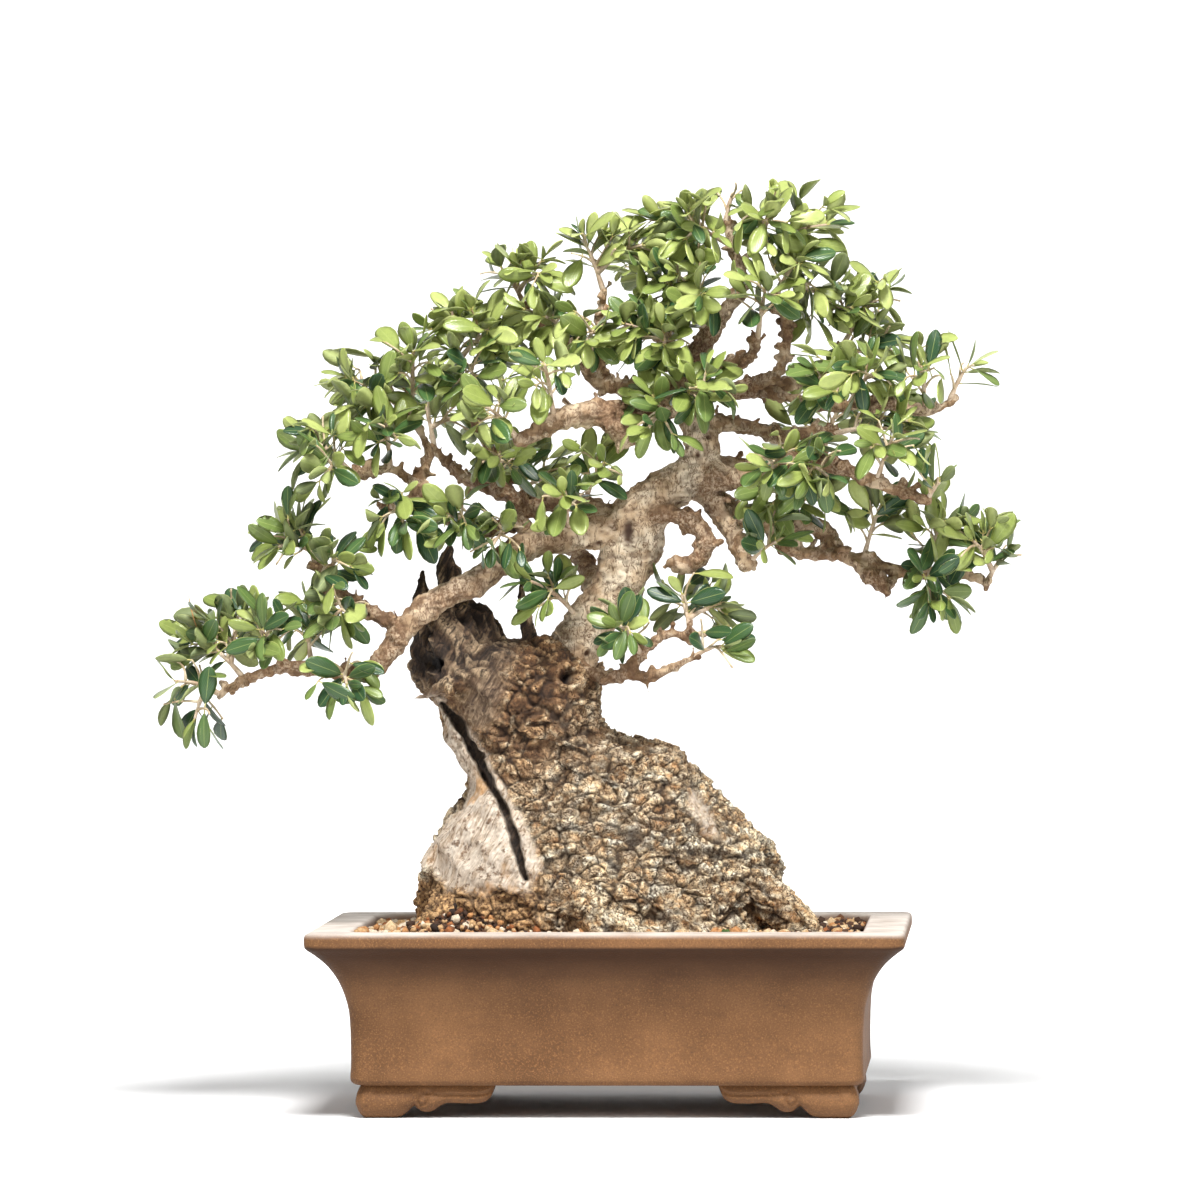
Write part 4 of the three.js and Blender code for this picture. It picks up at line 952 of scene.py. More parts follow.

# For the material: where gaps are dark, partly with painted shade, each flake's own tone, where
# bleached or grey wood, rot, the crack and the hollow show, both painted dark as shade, painted
# light that makes the bark paler low down and to the right, and how far the relief is raised.
# painted light and shade: paler low down and towards the right, browner high up; the pale roots and the
# callus add their own paler skin
painted_light_and_pale_skin = np.clip(0.68 + (218 - z) / 110 + x / 300 + 0.3 * noise(at, 30, 88) + pale_root + 0.5 * callus, 0, 1)
tone = 0.4 * flake_tone + 0.2 * plate_tone + 0.2 + 0.4 * noise(at, 3.6, 77)
give(stump, dark=dark, tone=np.clip(tone, 0, 1), bare=bare, smooth=smooth * (1 - bare), slit=slit,
     rot=np.clip(rot + 0.8 * cavity, 0, 1), hole=cavity, pale=painted_light_and_pale_skin,
     strand=np.clip(0.5 + 0.6 * strands, 0, 1), raised=np.clip(rise / 7 + 0.5, 0, 1),
     low=step(z + ragged, 160, 150) * step(x, -34, -60))
thinned(stump, MOST_TRIANGLES)


def off_lines(tree, place, scale, distortion):
    """How far a winding noise is from its middle value: 0 on lines that wander over the surface."""
    away = maths(tree, "SUBTRACT", texture(tree, place, scale, 4, 0.62, distortion), 0.5)
    return maths(tree, "ABSOLUTE", away)


bark, tree, shader = new_material("cork_bark", 0.88)
place = object_place(tree)
fine = texture(tree, place, 420, 5, 0.65)
broad = texture(tree, place, 26, 4, 0.6)
off_coarse = off_lines(tree, place, 150, 0.8)
off_fine = off_lines(tree, place, 330, 1.2)
scale_gap = maths(tree, "MAXIMUM", ranged(tree, off_coarse, 0.007, 0.024, 1.0, 0.0),
                  ranged(tree, off_fine, 0.007, 0.028, 0.75, 0.0))
tone, pale, dark = (number(tree, name) for name in ("tone", "pale", "dark"))
pale_tops = ramp(tree, tone, (0.1, (226, 174, 118)), (0.35, (250, 216, 166)), (0.6, (255, 236, 198)),
                 (0.9, (255, 248, 224)))
brown_tops = ramp(tree, tone, (0.1, (82, 55, 34)), (0.4, (130, 95, 62)), (0.65, (200, 162, 116)),
                  (0.9, (255, 232, 192)))
# the flake tops go from brown to pale, and take cream flecks, with the painted light
cork = layered(
    tree, mixed(tree, pale, brown_tops, pale_tops),
    (ranged(tree, broad, 0.5, 0.7, 0.0, 0.4), (176, 132, 88)),
    (times(tree, pale, ranged(tree, fine, 0.54, 0.66, 0.0, 0.6)), (255, 246, 220)),
    (ranged(tree, fine, 0.46, 0.34, 0.0, 0.85), (92, 60, 36)),
    (ranged(tree, off_coarse, 0.02, 0.06, 0.35, 0.0), (184, 126, 74)),
    # the winding lines and the gaps: the bark's own dark fissures, deepened with painted shade; darker too
    # where the relief lies low, as painted shade, and the knot's hole painted dark as shade
    (times(tree, scale_gap, ranged(tree, fine, 0.3, 0.5, 0.7, 1.0)), (42, 26, 16)),
    (ranged(tree, number(tree, "raised"), 0.36, 0.1, 0.0, 0.4), (112, 82, 56)),
    (dark, (38, 26, 19)))
crust = layered(
    tree, mixed(tree, ranged(tree, fine, 0.38, 0.58), (96, 62, 38), (234, 188, 132)),
    (dark, (44, 28, 19)))
leaning = add_node(tree, "ShaderNodeMapping", {"Vector": place, "Rotation": (0, -0.5, 0)}).outputs["Vector"]
streaks = texture(tree, stretched(tree, leaning, (1, 1, 0.14)), 260, 6, 0.62, 1.3)
bleached = layered(
    tree, ramp(tree, streaks, (0.3, (122, 98, 76)), (0.42, (196, 174, 150)), (0.6, (236, 222, 204))),
    (ranged(tree, texture(tree, place, 150, 5, 0.7), 0.54, 0.62, 0.0, 0.9), (112, 84, 60)),
    (ranged(tree, broad, 0.56, 0.68, 0.0, 0.7), (208, 156, 96)))
greyed = ramp(tree, streaks, (0.34, (56, 41, 31)), (0.48, (108, 86, 66)), (0.64, (166, 142, 114)))
rotten = layered(
    tree, ramp(
        tree, number(tree, "strand"), (0.2, (40, 29, 23)), (0.48, (98, 76, 56)), (0.8, (182, 156, 124))),
    (ranged(tree, streaks, 0.53, 0.43, 0.0, 0.9), (40, 29, 22)),
    (ranged(tree, off_fine, 0.03, 0.008, 0.0, 0.7), (32, 23, 18)))
# painted shade: the inside of the crack, dark brown to near black
in_crack = mixed(tree, ranged(tree, streaks, 0.4, 0.7), (24, 17, 13), (84, 66, 50))
wood = layered(
    tree, cork,
    (number(tree, "low"), crust),
    (number(tree, "smooth"), greyed),
    (number(tree, "bare"), bleached),
    (number(tree, "rot"), rotten),
    # the crack's painted shade, then the hollow painted near black as painted shade
    (number(tree, "slit"), in_crack),
    (number(tree, "hole"), (20, 15, 13)))
fibres = bumped(tree, streaks, 0.6, 0.001, bumped(tree, scale_gap, 0.8, 0.001, invert=True))
dress(tree, shader, wood, bumped(tree, fine, 0.8, 0.001, fibres))
stump.data.materials.append(bark)
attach(stump, "root")
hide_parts("trunk")

# ---------------------------------------------------------------- upper trunk and limbs
# The living wood above the stump: a pale, smooth-barked trunk with folds and pits, and limbs
# that turn knobbly, brown and scarred where years of shoots were pruned off.

# Centre lines from the root of each outwards: (x, y, z, radius).
UPPER_TRUNK = [
    (-42, 4, 280, 22), (-33, 2, 300, 20), (-23, 2, 320, 17.5), (-4, 4, 345, 17), (8, 4, 368, 18.5),
    (14, 2, 388, 21), (19, 0, 402, 20), (31, -2, 415, 17), (48, -4, 428, 15), (59, -4, 441, 13),
    (58, -2, 460, 12), (53, 2, 480, 11), (53, 6, 500, 9.5), (60, 10, 515, 7.5), (74, 12, 538, 6),
    (88, 10, 560, 5), (82, 6, 585, 3.6), (77, 4, 602, 3)]
LIMBS = [
    # the low left branch, round the front of the stump's left shoulder
    [(0, -2, 392, 12), (-30, -10, 389, 10.5), (-68, -20, 378, 9.5), (-92, -26, 359, 9.5),
     (-118, -31, 346, 9), (-140, -35, 328, 8.5), (-155, -37, 308, 7.5), (-167, -38, 297, 6.6),
     (-185, -36, 296, 5), (-205, -30, 299, 4.6), (-225, -24, 300, 4.4), (-243, -20, 295, 3.8),
     (-258, -18, 288, 3.2), (-268, -16, 282, 2.6)],
    [(-143, -34, 327, 5.5), (-165, -24, 337, 4.8), (-182, -10, 346, 4.2), (-192, 0, 355, 3.8),
     (-204, 8, 371, 3)],
    # the left branches above it
    [(-52, -15, 384, 7), (-64, -8, 397, 6), (-90, 2, 392, 5.6), (-115, 8, 403, 5.2),
     (-133, 10, 412, 4.6), (-157, 12, 408, 3.4)],
    [(-131, 10, 411, 4.2), (-131, 12, 426, 3.6), (-126, 16, 445, 3.1), (-140, 20, 472, 2.6)],
    [(-131, 11, 420, 3.2), (-150, 6, 434, 3), (-178, 2, 429, 2.5)],
    [(0, 6, 400, 9), (-20, 12, 410, 7), (-40, 20, 411, 6), (-58, 26, 407, 6), (-72, 31, 417, 5.5),
     (-85, 36, 434, 5), (-86, 40, 452, 4.4), (-97, 42, 470, 3.6), (-104, 40, 492, 2.8)],
    # the branch that runs left from the head of the trunk, with its knob
    [(55, 0, 478, 9.5), (20, -14, 474, 8.5), (-8, -26, 472, 8), (-35, -34, 468, 7), (-52, -40, 458, 6),
     (-66, -46, 452, 4.6)],
    [(-4, -24, 473, 8), (3, -26, 462, 8), (10, -24, 451, 7)],
    [(55, 5, 494, 8), (25, 16, 488, 6.4), (5, 26, 490, 5.8), (-16, 34, 498, 5), (-24, 39, 515, 4.3),
     (-46, 44, 531, 3.5), (-62, 46, 547, 2.8)],
    [(-6, 30, 494, 4.6), (-10, 20, 512, 3.6), (-8, 10, 532, 2.9), (-6, 2, 556, 2.4)],
    # the right branches
    [(58, -2, 465, 7.5), (80, 10, 464, 6), (98, 20, 461, 5.5), (115, 28, 456, 5), (130, 35, 459, 4.4),
     (152, 42, 457, 3.2)],
    [(56, -4, 438, 10), (78, -14, 427, 8.8), (95, -22, 432, 7.8), (108, -28, 440, 7),
     (122, -34, 438, 6.4), (142, -38, 438, 5.8), (160, -41, 432, 5.2), (178, -42, 424, 4.6),
     (196, -42, 417, 3.8), (214, -42, 411, 3)],
    [(52, -4, 428, 9), (68, -8, 412, 8), (76, -12, 397, 7.4), (84, -16, 383, 6.8), (91, -20, 367, 6)],
    [(24, -12, 404, 8), (44, -19, 402, 7), (57, -21, 396, 6.6), (63, -21, 385, 6.4),
     (58, -20, 374, 6.2), (48, -18, 368, 6), (40, -17, 372, 5)],
    [(52, 0, 424, 10), (72, 6, 412, 8), (90, 12, 401, 7.4), (112, 16, 397, 6.8), (132, 18, 396, 6.4),
     (146, 18, 389, 5.8), (155, 16, 376, 5.4), (170, 14, 369, 5), (190, 12, 365, 4.5),
     (210, 10, 361, 4), (228, 8, 361, 3.5), (244, 6, 360, 3), (256, 4, 354, 2.5)],
    [(104, 14, 396, 5.4), (116, 6, 380, 4.6), (131, 4, 376, 4.5), (150, 10, 375, 4.4)],
    [(166, 12, 368, 5), (178, 8, 358, 5), (187, 4, 350, 4)],
    [(55, 4, 487, 8), (85, 14, 487, 6.2), (108, 22, 488, 5.6), (130, 30, 496, 4.8), (150, 36, 502, 4),
     (156, 40, 517, 3)],
    [(104, 20, 487, 4.6), (120, 8, 482, 4), (135, -4, 478, 3.8), (152, -12, 475, 3.7),
     (173, -17, 478, 3.5), (195, -21, 475, 3.2), (212, -23, 471, 2.9), (233, -24, 481, 2.4)],
    [(90, 16, 487, 4.2), (112, 4, 499, 3.8), (118, -2, 513, 3.5), (117, -6, 536, 3), (110, -9, 554, 2.4)],
    [(58, 9, 509, 6), (75, -1, 502, 5), (91, -11, 507, 4.2), (98, -17, 522, 3.2)],
    # the low shoot on the right, from the foot of the upper trunk
    [(-24, -14, 300, 6), (-5, -26, 292, 4.4), (10, -33, 295, 4), (22, -36, 292, 3.6),
     (38, -38, 299, 3.2), (56, -38, 307, 2.5)],
    [(8, -32, 295, 3.2), (20, -30, 311, 2.8), (36, -28, 321, 2.6), (58, -26, 322, 2.3),
     (78, -24, 327, 1.9)],
    # the branches at the back
    [(-8, 10, 345, 10), (-18, 40, 366, 8), (-30, 72, 384, 6.4), (-46, 104, 398, 4.6), (-60, 116, 410, 3)],
    [(54, 10, 490, 8), (42, 40, 512, 6.4), (28, 72, 534, 4.8), (22, 96, 552, 3)],
    [(50, 4, 430, 9), (78, 42, 436, 7), (104, 78, 434, 5.6), (128, 108, 436, 4.4), (148, 114, 446, 3)],
    [(-70, 30, 416, 5.4), (-92, 62, 424, 4.6), (-112, 92, 436, 3.8), (-126, 108, 452, 2.8)]]
TRUNK_STATIONS = 110
LIMB_STATIONS = 60
LIMB_VOXEL = 1.3
LIMB_ROUNDS = 3
SPURS = 620
SPUR_LENGTH = (1.2, 5.5)
# the fold is painted dark as painted shade, by the piece's hole and crease numbers below
TRUNK_EYE = (9, -20, 390)  # a dark fold in the upper trunk

limb_paths, limb_radii = limb_lines(LIMBS, LIMB_STATIONS)
trunk_paths, trunk_radii = limb_lines([UPPER_TRUNK], TRUNK_STATIONS)
centre = np.concatenate([trunk_paths.reshape(-1, 3), limb_paths.reshape(-1, 3)])
girth = np.concatenate([trunk_radii.ravel(), limb_radii.ravel()])
heading = np.concatenate([np.gradient(paths, axis=1).reshape(-1, 3) for paths in (trunk_paths, limb_paths)])
heading /= np.linalg.norm(heading, axis=1, keepdims=True)


def nearest_centre(points, chunk=4000):
    """For each point, which place on the centre lines is nearest to its skin, and how far that is."""
    chosen, away = [], []
    for start in range(0, len(points), chunk):
        part = points[start:start + chunk]
        gap = np.sqrt(np.maximum(
            (part ** 2).sum(axis=1)[:, None] - 2 * part @ centre.T + (centre ** 2).sum(axis=1), 0)) - girth
        chosen.append(gap.argmin(axis=1))
        away.append(gap.min(axis=1))
    return np.concatenate(chosen), np.concatenate(away)


# Spurs: the stubs of pruned shoots, thickest set on the middling limbs.
rng = np.random.default_rng(31)
weight = np.clip((9.5 - girth) / 6, 0.02, 1) * (girth > 2.4)
chosen = rng.choice(len(centre), SPURS, p=weight / weight.sum())
sideways = np.cross(heading[chosen], rng.normal(size=(SPURS, 3)) + (0, 0, 0.9))
sideways = np.cross(sideways, heading[chosen])
sideways = sideways / np.linalg.norm(sideways, axis=1, keepdims=True) + 0.5 * heading[chosen]
length = rng.uniform(*SPUR_LENGTH, SPURS) + girth[chosen]
reach = np.linspace(0, 1, 6)
bend = rng.normal(size=(SPURS, 3)) * 0.22
spur_paths = (centre[chosen][:, None, :] + length[:, None, None] * (
    sideways[:, None, :] * reach[:, None] + bend[:, None, :] * reach[:, None] ** 2))
spur_radii = rng.uniform(1.3, 2.5, SPURS)[:, None] * (1.15 - 0.3 * reach + 0.25 * (reach == 1))
lumps = 1 + 0.18 * noise(centre, 10, 90)
limb_bodies = [
    tubes(trunk_paths, trunk_radii, 40),
    tubes(limb_paths, limb_radii * lumps[TRUNK_STATIONS:].reshape(limb_radii.shape), 18),
    tubes(spur_paths, spur_radii, 10)]
limbs = melted("limbs", limb_bodies, LIMB_VOXEL, LIMB_ROUNDS)
at = mesh_points(limbs)
out = mesh_normals(limbs)
near, _ = nearest_centre(at)
thick = girth[near]
broad_lumps = (noise(at, 15, 91) + 0.6 * noise(at, 7, 90)) * np.clip(thick * 0.17, 0.7, 1.9)
knobs, _, knob_tone = flakes(at, 7.5, 92)
wrinkle = noise(at * (1, 1, 2.2), 4.2, 93)
eye_away = np.linalg.norm((at - TRUNK_EYE) / (6, 9, 15), axis=1) + 0.3 * noise(at, 8, 94)
eye = step(eye_away, 1.1, 0.2)
scars, _, scar_tone = flakes(at, 17, 95)
scar = (scar_tone > 0.45) * np.exp(-((scars - 0.2) / 0.07) ** 2) * step(thick, 3.4, 5)
scar_pit = (scar_tone > 0.45) * step(scars, 0.17, 0.08) * step(thick, 3.4, 5)
rise = (broad_lumps + (0.9 + 0.8 * step(thick, 11, 7)) * step(knobs, 0.55, 0.1)
        + 0.6 * wrinkle * np.clip(thick / 5, 0.5, 1.6) + 1.3 * scar - 1.4 * scar_pit - 4 * eye - 0.3)
set_points(limbs, potted(at + out * rise[:, None]))
# painted shade: hole darkens the fold, and crease the wrinkles' grooves, the fold and the scar pits
give(limbs, thick=np.clip(thick / 20, 0, 1), knob=knob_tone, hole=0.75 * step(eye_away, 0.8, 0.3),
     crease=np.clip(0.55 * step(wrinkle, 0.1, -0.7) + eye + scar_pit, 0, 1),
     rough=np.clip(step(noise(at, 22, 96), -0.25, 0.45) * step(thick, 14, 8), 0, 1))
thinned(limbs, MOST_TRIANGLES)

live_bark, tree, shader = new_material("olive_bark", 0.82)
place = object_place(tree)
fine = texture(tree, place, 520, 5, 0.65)
broad = texture(tree, place, 48, 4, 0.6)
thickness = number(tree, "thick")
pale = ramp(tree, broad, (0.3, (150, 118, 86)), (0.46, (194, 168, 136)), (0.64, (224, 208, 182)))
brown = layered(
    tree, ramp(tree, broad, (0.3, (112, 84, 58)), (0.48, (160, 130, 96)), (0.68, (212, 188, 154))),
    (ranged(tree, number(tree, "knob"), 0.5, 0.8, 0.0, 0.7), (216, 196, 168)))
dots = add_node(tree, "ShaderNodeTexVoronoi", {"Vector": place, "Scale": 210, "Randomness": 1.0})
dots = times(tree, ranged(tree, dots.outputs["Distance"], 0.26, 0.1), ranged(tree, fine, 0.42, 0.58))
fissures = off_lines(tree, stretched(tree, place, (1, 1, 0.4)), 170, 1.0)
fissures = ranged(tree, fissures, 0.006, 0.03, 0.85, 0.0)
skin_tone = layered(
    tree, mixed(tree, ranged(tree, thickness, 0.24, 0.6), brown, pale),
    (times(tree, number(tree, "rough"), ranged(tree, fine, 0.36, 0.6)), (112, 80, 54)),
    (times(tree, dots, ranged(tree, thickness, 0.1, 0.4, 0.35, 0.85)), (98, 68, 48)),
    (ranged(tree, fine, 0.44, 0.26, 0.0, 0.7), (120, 88, 64)),
    (fissures, (112, 82, 56)),
    # painted shade in the grooves, the fold and the scar pits, deepest in the fold
    (number(tree, "crease"), (92, 66, 48)),
    (number(tree, "hole"), (58, 38, 28)))
dimples = bumped(tree, fissures, 0.6, 0.001, invert=True)
dress(tree, shader, skin_tone, bumped(tree, fine, 0.55, 0.0008, dimples))
limbs.data.materials.append(live_bark)
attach(limbs, "root")
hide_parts("trunk")

# ---------------------------------------------------------------- leafy sprays
# Each spray is what grows at the end of a limb: pale shoots, twiglets off them, and opposite pairs
# of leathery leaves that turn a quarter from pair to pair, with a tuft of young ones at each tip.
# Old leaves are dark and glossy above and grey-green below, with a thin yellow margin. Leaves set
# high in the crown and high in their spray are painted lighter, as painted light from above and
# through them.

# Root, tip and side tips of each spray's shoots.
SPRAYS = [
    # low left branch
    [(-268, -16, 282), (-298, -20, 291), (-284, -30, 266)],
    [(-250, -19, 291), (-284, -8, 320), (-256, 6, 334)],
    [(-225, -24, 300), (-238, -56, 326)],
    [(-205, -30, 299), (-210, -4, 336)],
    [(-184, -36, 296), (-180, -72, 290)],
    [(-172, -18, 341), (-188, -54, 336)],
    [(-203, 7, 369), (-214, 16, 396), (-228, -4, 382)],
    [(-195, 2, 357), (-188, -32, 374)],
    # left branches above it
    [(-176, 2, 429), (-208, -8, 456), (-192, -28, 434)],
    [(-152, 6, 434), (-154, -32, 466)],
    [(-139, 20, 470), (-182, 30, 498), (-168, 0, 478)],
    [(-137, 19, 466), (-136, -8, 514)],
    [(-152, 12, 409), (-142, -30, 398)],
    [(-90, 2, 392), (-112, -34, 402)],
    [(-64, -8, 397), (-82, -52, 382)],
    [(-103, 40, 490), (-110, 34, 542), (-78, 14, 530), (-92, -4, 492)],
    [(-76, 32, 421), (-78, -12, 444)],
    [(-124, 107, 450), (-132, 114, 486), (-104, 122, 470)],
    # branches left of the head
    [(-60, 46, 546), (-76, 44, 572), (-50, 20, 568)],
    [(-24, 39, 515), (-46, 0, 538)],
    [(-64, -45, 453), (-86, -66, 476)],
    [(-40, -36, 466), (-46, -74, 504)],
    [(-6, 3, 554), (-20, 0, 590), (20, -8, 586)],
    [(-8, 12, 528), (-18, -30, 520)],
    [(-30, -10, 389), (-34, -62, 416)],
    [(-20, 2, 326), (-56, -46, 358)],
    [(-20, 12, 410), (-6, -24, 438)],
    # the crown
    [(56, 7, 504), (8, -24, 532), (34, -36, 518)],
    [(66, 11, 525), (28, -18, 568), (60, -38, 552)],
    [(82, 6, 585), (26, 12, 604), (50, -24, 590)],
    [(77, 4, 601), (82, 2, 622)],
    [(85, 8, 574), (146, 14, 600), (104, -32, 602)],
    [(98, -16, 520), (104, -46, 558)],
    [(111, -9, 551), (126, -18, 576), (146, 6, 548)],
    # right branches
    [(155, 39, 513), (186, 34, 556), (152, 8, 544)],
    [(150, 36, 502), (194, 26, 522)],
    [(228, -24, 479), (240, -24, 502)],
    [(212, -23, 471), (208, -50, 502)],
    [(160, -14, 476), (176, -56, 498), (136, -52, 486)],
    [(150, 41, 457), (204, 44, 458), (190, 70, 476)],
    [(212, -42, 412), (220, -48, 424)],
    [(178, -42, 424), (188, -68, 454)],
    [(118, -32, 438), (106, -78, 434), (144, -74, 428)],
    [(112, 16, 397), (140, -14, 416), (104, -26, 420)],
    [(170, 14, 369), (182, 0, 408)],
    [(212, 10, 361), (224, -10, 398), (214, -24, 344)],
    [(254, 4, 355), (268, 0, 376), (244, -20, 384)],
    [(91, -20, 368), (110, -38, 384)],
    [(50, -4, 478), (24, -58, 462), (66, -54, 490)],
    # the low shoots on the right
    [(54, -38, 306), (72, -48, 314)],
    [(52, -27, 322), (46, -14, 348), (74, -14, 340)],
    [(18, -31, 308), (4, -60, 328)],
    # the back
    [(-58, 115, 408), (-74, 118, 440), (-46, 124, 428)],
    [(22, 95, 550), (16, 112, 584), (50, 100, 556)],
    [(146, 113, 445), (158, 120, 478), (124, 124, 462)],
]
SIDE_SHOOT = 0.3  # share of the shoot at which side shoots leave it
SHOOT_RADII = (1.9, 0.95)  # at its base, and how much less at its tip
TWIGLET_RADII = (1.05, 0.4)
PETIOLE_RADIUS = 0.45
SHOOT_BOW = 0.08  # bow of a shoot, as a share of its length
SHOOT_STATIONS = 11
TWIGLET_SPACING = 8.0
TWIGLET_LENGTH = (12.0, 25.0)
TWIGLETS = (3, 6)  # the fewest and the most on a shoot
TWIGLET_SPAN = (0.24, 0.62)  # where they start along it, and how far on they go, as shares
GOLDEN_ANGLE = 2.39996
CROWN_MIDDLE = (0, 20, 380)  # leaves face away from it, and to the light,
LIGHT = (0, -0.25, 0.7)  # which pulls them up and forwards
DEAD_LEAF = (2, (-283, -14, 322))  # its spray, and where it hangs
LEAF_LENGTH = 25.0
LEAF_AT = np.array([0.03, 0.18, 0.38, 0.58, 0.78, 0.92, 0.985])
LEAF_ROOM = 8.0  # how far a leaf may pass the space of its spray's solid
LEAF_CLEARANCE = 4.5  # least distance between the middles of two leaves
WOOD_CLEARANCE = 1.2  # least distance of a leaf's middle and tip from a limb
PETIOLE = 3.0  # length of a leaf's stalk, for a leaf of size 1

# Pairs of leaves on a shoot and on a twiglet: share of its length, opening in degrees and size.
SHOOT_PAIRS = [(0.42, 64, 0.94), (0.62, 58, 1.04), (0.82, 50, 1.04), (1.0, 40, 0.92), (1.0, 20, 0.66)]
TWIGLET_PAIRS = [(0.48, 62, 0.98), (0.96, 46, 1.0), (1.0, 22, 0.66)]

# A leaf's section, six points round: (across, which side of the blade, 1 above and -1 below).
SECTION = np.array([(-1, 0), (0, -1), (1, 0), (0.5, 1), (0, 1), (-0.5, 1)])


def leaf_shapes(length, width, cup, recurve, twist):
    """
    Blades (leaves, points, 3) along +X with their upper side to +Z. The half width goes as
    t^0.7 * (1 - t^2)^0.62 with t from base to tip; the section rises with the square of the
    distance from the midrib, by cup; the whole bends down on a circle's arc through the
    recurve angle, and turns about its midrib by twist.
    """
    t = LEAF_AT[None, :, None]
    length, width, cup, recurve, twist = (
        value[:, None, None] for value in (length, width, cup, recurve, twist))
    half_width = 0.5 * width * t ** 0.7 * (1 - t ** 2) ** 0.62 / 0.53
    thick = 0.26 + 0.12 * np.sin(math.pi * t)
    across = SECTION[:, 0] * half_width
    up = cup * across ** 2 / (0.5 * width) + SECTION[:, 1] * thick * (1 - 0.4 * np.abs(SECTION[:, 0]))
    up = up - 0.2 * (SECTION[:, 0] == 0) * np.sin(math.pi * t)
    turn = twist * (t - 0.3)
    side = across * np.cos(turn) - up * np.sin(turn)
    lift = across * np.sin(turn) + up * np.cos(turn)
    bend = recurve * t
    radius = length / recurve
    rings = np.stack([
        (radius + lift) * np.sin(bend), side, radius * (np.cos(bend) - 1) + lift * np.cos(bend)], axis=3)
    tips = np.zeros((len(length), 2, 3))
    tips[:, 1, 0] = (radius * np.sin(recurve))[:, 0, 0]
    tips[:, 1, 2] = (radius * (np.cos(recurve) - 1))[:, 0, 0]
    return np.concatenate([rings.reshape(len(length), -1, 3), tips], axis=1)


leaf_points = len(LEAF_AT) * len(SECTION) + 2
leaf_middle = 3 * len(SECTION) + 4  # the point on the upper side of the midrib, past halfway
_, (leaf_quads, leaf_ends) = skin(np.zeros((len(LEAF_AT), len(SECTION), 3)), (0, 0, 0), (0, 0, 0))
leaf_across = np.concatenate([np.tile(SECTION[:, 0], len(LEAF_AT)), [0, 0]])
leaf_along = np.concatenate([np.repeat(LEAF_AT, len(SECTION)), [0, 1]])
quad_under = np.tile(np.arange(len(SECTION)) < 2, len(LEAF_AT) - 1).astype(float)
end_under = np.tile(np.arange(len(SECTION)) < 2, 2).astype(float)


def unit(vectors):
    """Vectors at length 1."""
    return vectors / np.maximum(np.linalg.norm(vectors, axis=-1, keepdims=True), 1e-9)


def arcs(start, end, bow):
    """Paths (arcs, stations, 3) from start to end through a middle moved by bow: a parabola each."""
    t = np.linspace(0, 1, SHOOT_STATIONS)[None, :, None]
    return start[:, None] * (1 - t) + end[:, None] * t + 4 * bow[:, None] * t * (1 - t)


def along_paths(paths, share):
    """Places and headings on paths (n, stations, 3) at shares (n, places) of their length."""
    spot = share * (paths.shape[1] - 1)
    low = np.minimum(spot.astype(int), paths.shape[1] - 2)
    row = np.arange(len(paths))[:, None]
    stride = paths[row, low + 1] - paths[row, low]
    return paths[row, low] + (spot - low)[:, :, None] * stride, unit(stride)


def spoke_round(ahead, turn):
    """Directions square to each heading, at an angle round it."""
    side = unit(np.cross(ahead, (0.1, 0.2, 1.0)))
    return side * np.cos(turn) + np.cross(side, ahead) * np.sin(turn)


def leaf_pairs(paths, pairs, rng):
    """
    Opposite pairs on paths, each a quarter turn from the last: rows of seat, shoot heading,
    leaf heading, size and share along the shoot. A leaf's heading is cos(opening) * ahead +
    sin(opening) * spoke.
    """
    share, opening, scale = np.array(pairs).T
    shape = (len(paths), len(share), 2)
    seat, ahead = along_paths(paths, np.clip(share + 0.04 * rng.normal(size=shape[:2]), 0.1, 1))
    turn = (np.arange(len(share)) * math.pi / 2 + rng.uniform(0, math.pi, (len(paths), 1)))[:, :, None]
    spoke = spoke_round(ahead, turn)[:, :, None] * np.array([[1], [-1]])
    opened = (np.radians(opening) + 0.13 * rng.normal(size=shape[:2]))[:, :, None, None]
    heading = unit(ahead[:, :, None] * np.cos(opened) + spoke * np.sin(opened)
                   + 0.15 * rng.normal(size=(*shape, 3)))
    rows = [seat[:, :, None], ahead[:, :, None], heading, scale[:, None, None], share[:, None, None]]
    return [np.broadcast_to(row, (*shape, row.shape[-1])).reshape(-1, row.shape[-1]) for row in rows]


foliage, tree, shader = new_material("olive_leaf", 0.4)
leaf_map = add_node(tree, "ShaderNodeUVMap", uv_map="leaf").outputs["UV"]
sides = add_node(tree, "ShaderNodeSeparateXYZ", {"Vector": leaf_map}).outputs
off_middle = maths(tree, "ABSOLUTE", maths(tree, "SUBTRACT", sides["X"], 0.5))
young = number(tree, "young")
under = number(tree, "under")
mottle = texture(tree, object_place(tree), 260, 3, 0.6)
# old dark green to young yellow-green; the same number carries the painted light on high leaves
above = ramp(tree, young, (0.0, (36, 70, 44)), (0.2, (68, 100, 54)), (0.46, (138, 152, 76)),
             (0.85, (176, 186, 110)), (0.95, (210, 146, 90)))
below = ramp(tree, young, (0.0, (108, 120, 84)), (0.3, (134, 144, 94)), (0.55, (154, 164, 102)),
             (0.85, (176, 184, 112)), (0.95, (214, 158, 108)))
slant = maths(tree, "ADD", times(tree, off_middle, -0.9), sides["Y"])
veins = maths(tree, "SINE", times(tree, slant, 58.0))
blade = layered(
    tree, mixed(tree, under, above, below),
    (ranged(tree, mottle, 0.35, 0.65, 0.0, 0.2), (72, 90, 40)),
    (ranged(tree, veins, 0.82, 1.0, 0.0, 0.14), (150, 166, 92)),
    (ranged(tree, off_middle, 0.026, 0.01, 0.0, 0.5), (164, 176, 104)),
    (ranged(tree, off_middle, 0.455, 0.485, 0.0, 0.6), (194, 200, 122)))
dress(tree, shader, blade, bumped(tree, veins, 0.12, 0.0003))
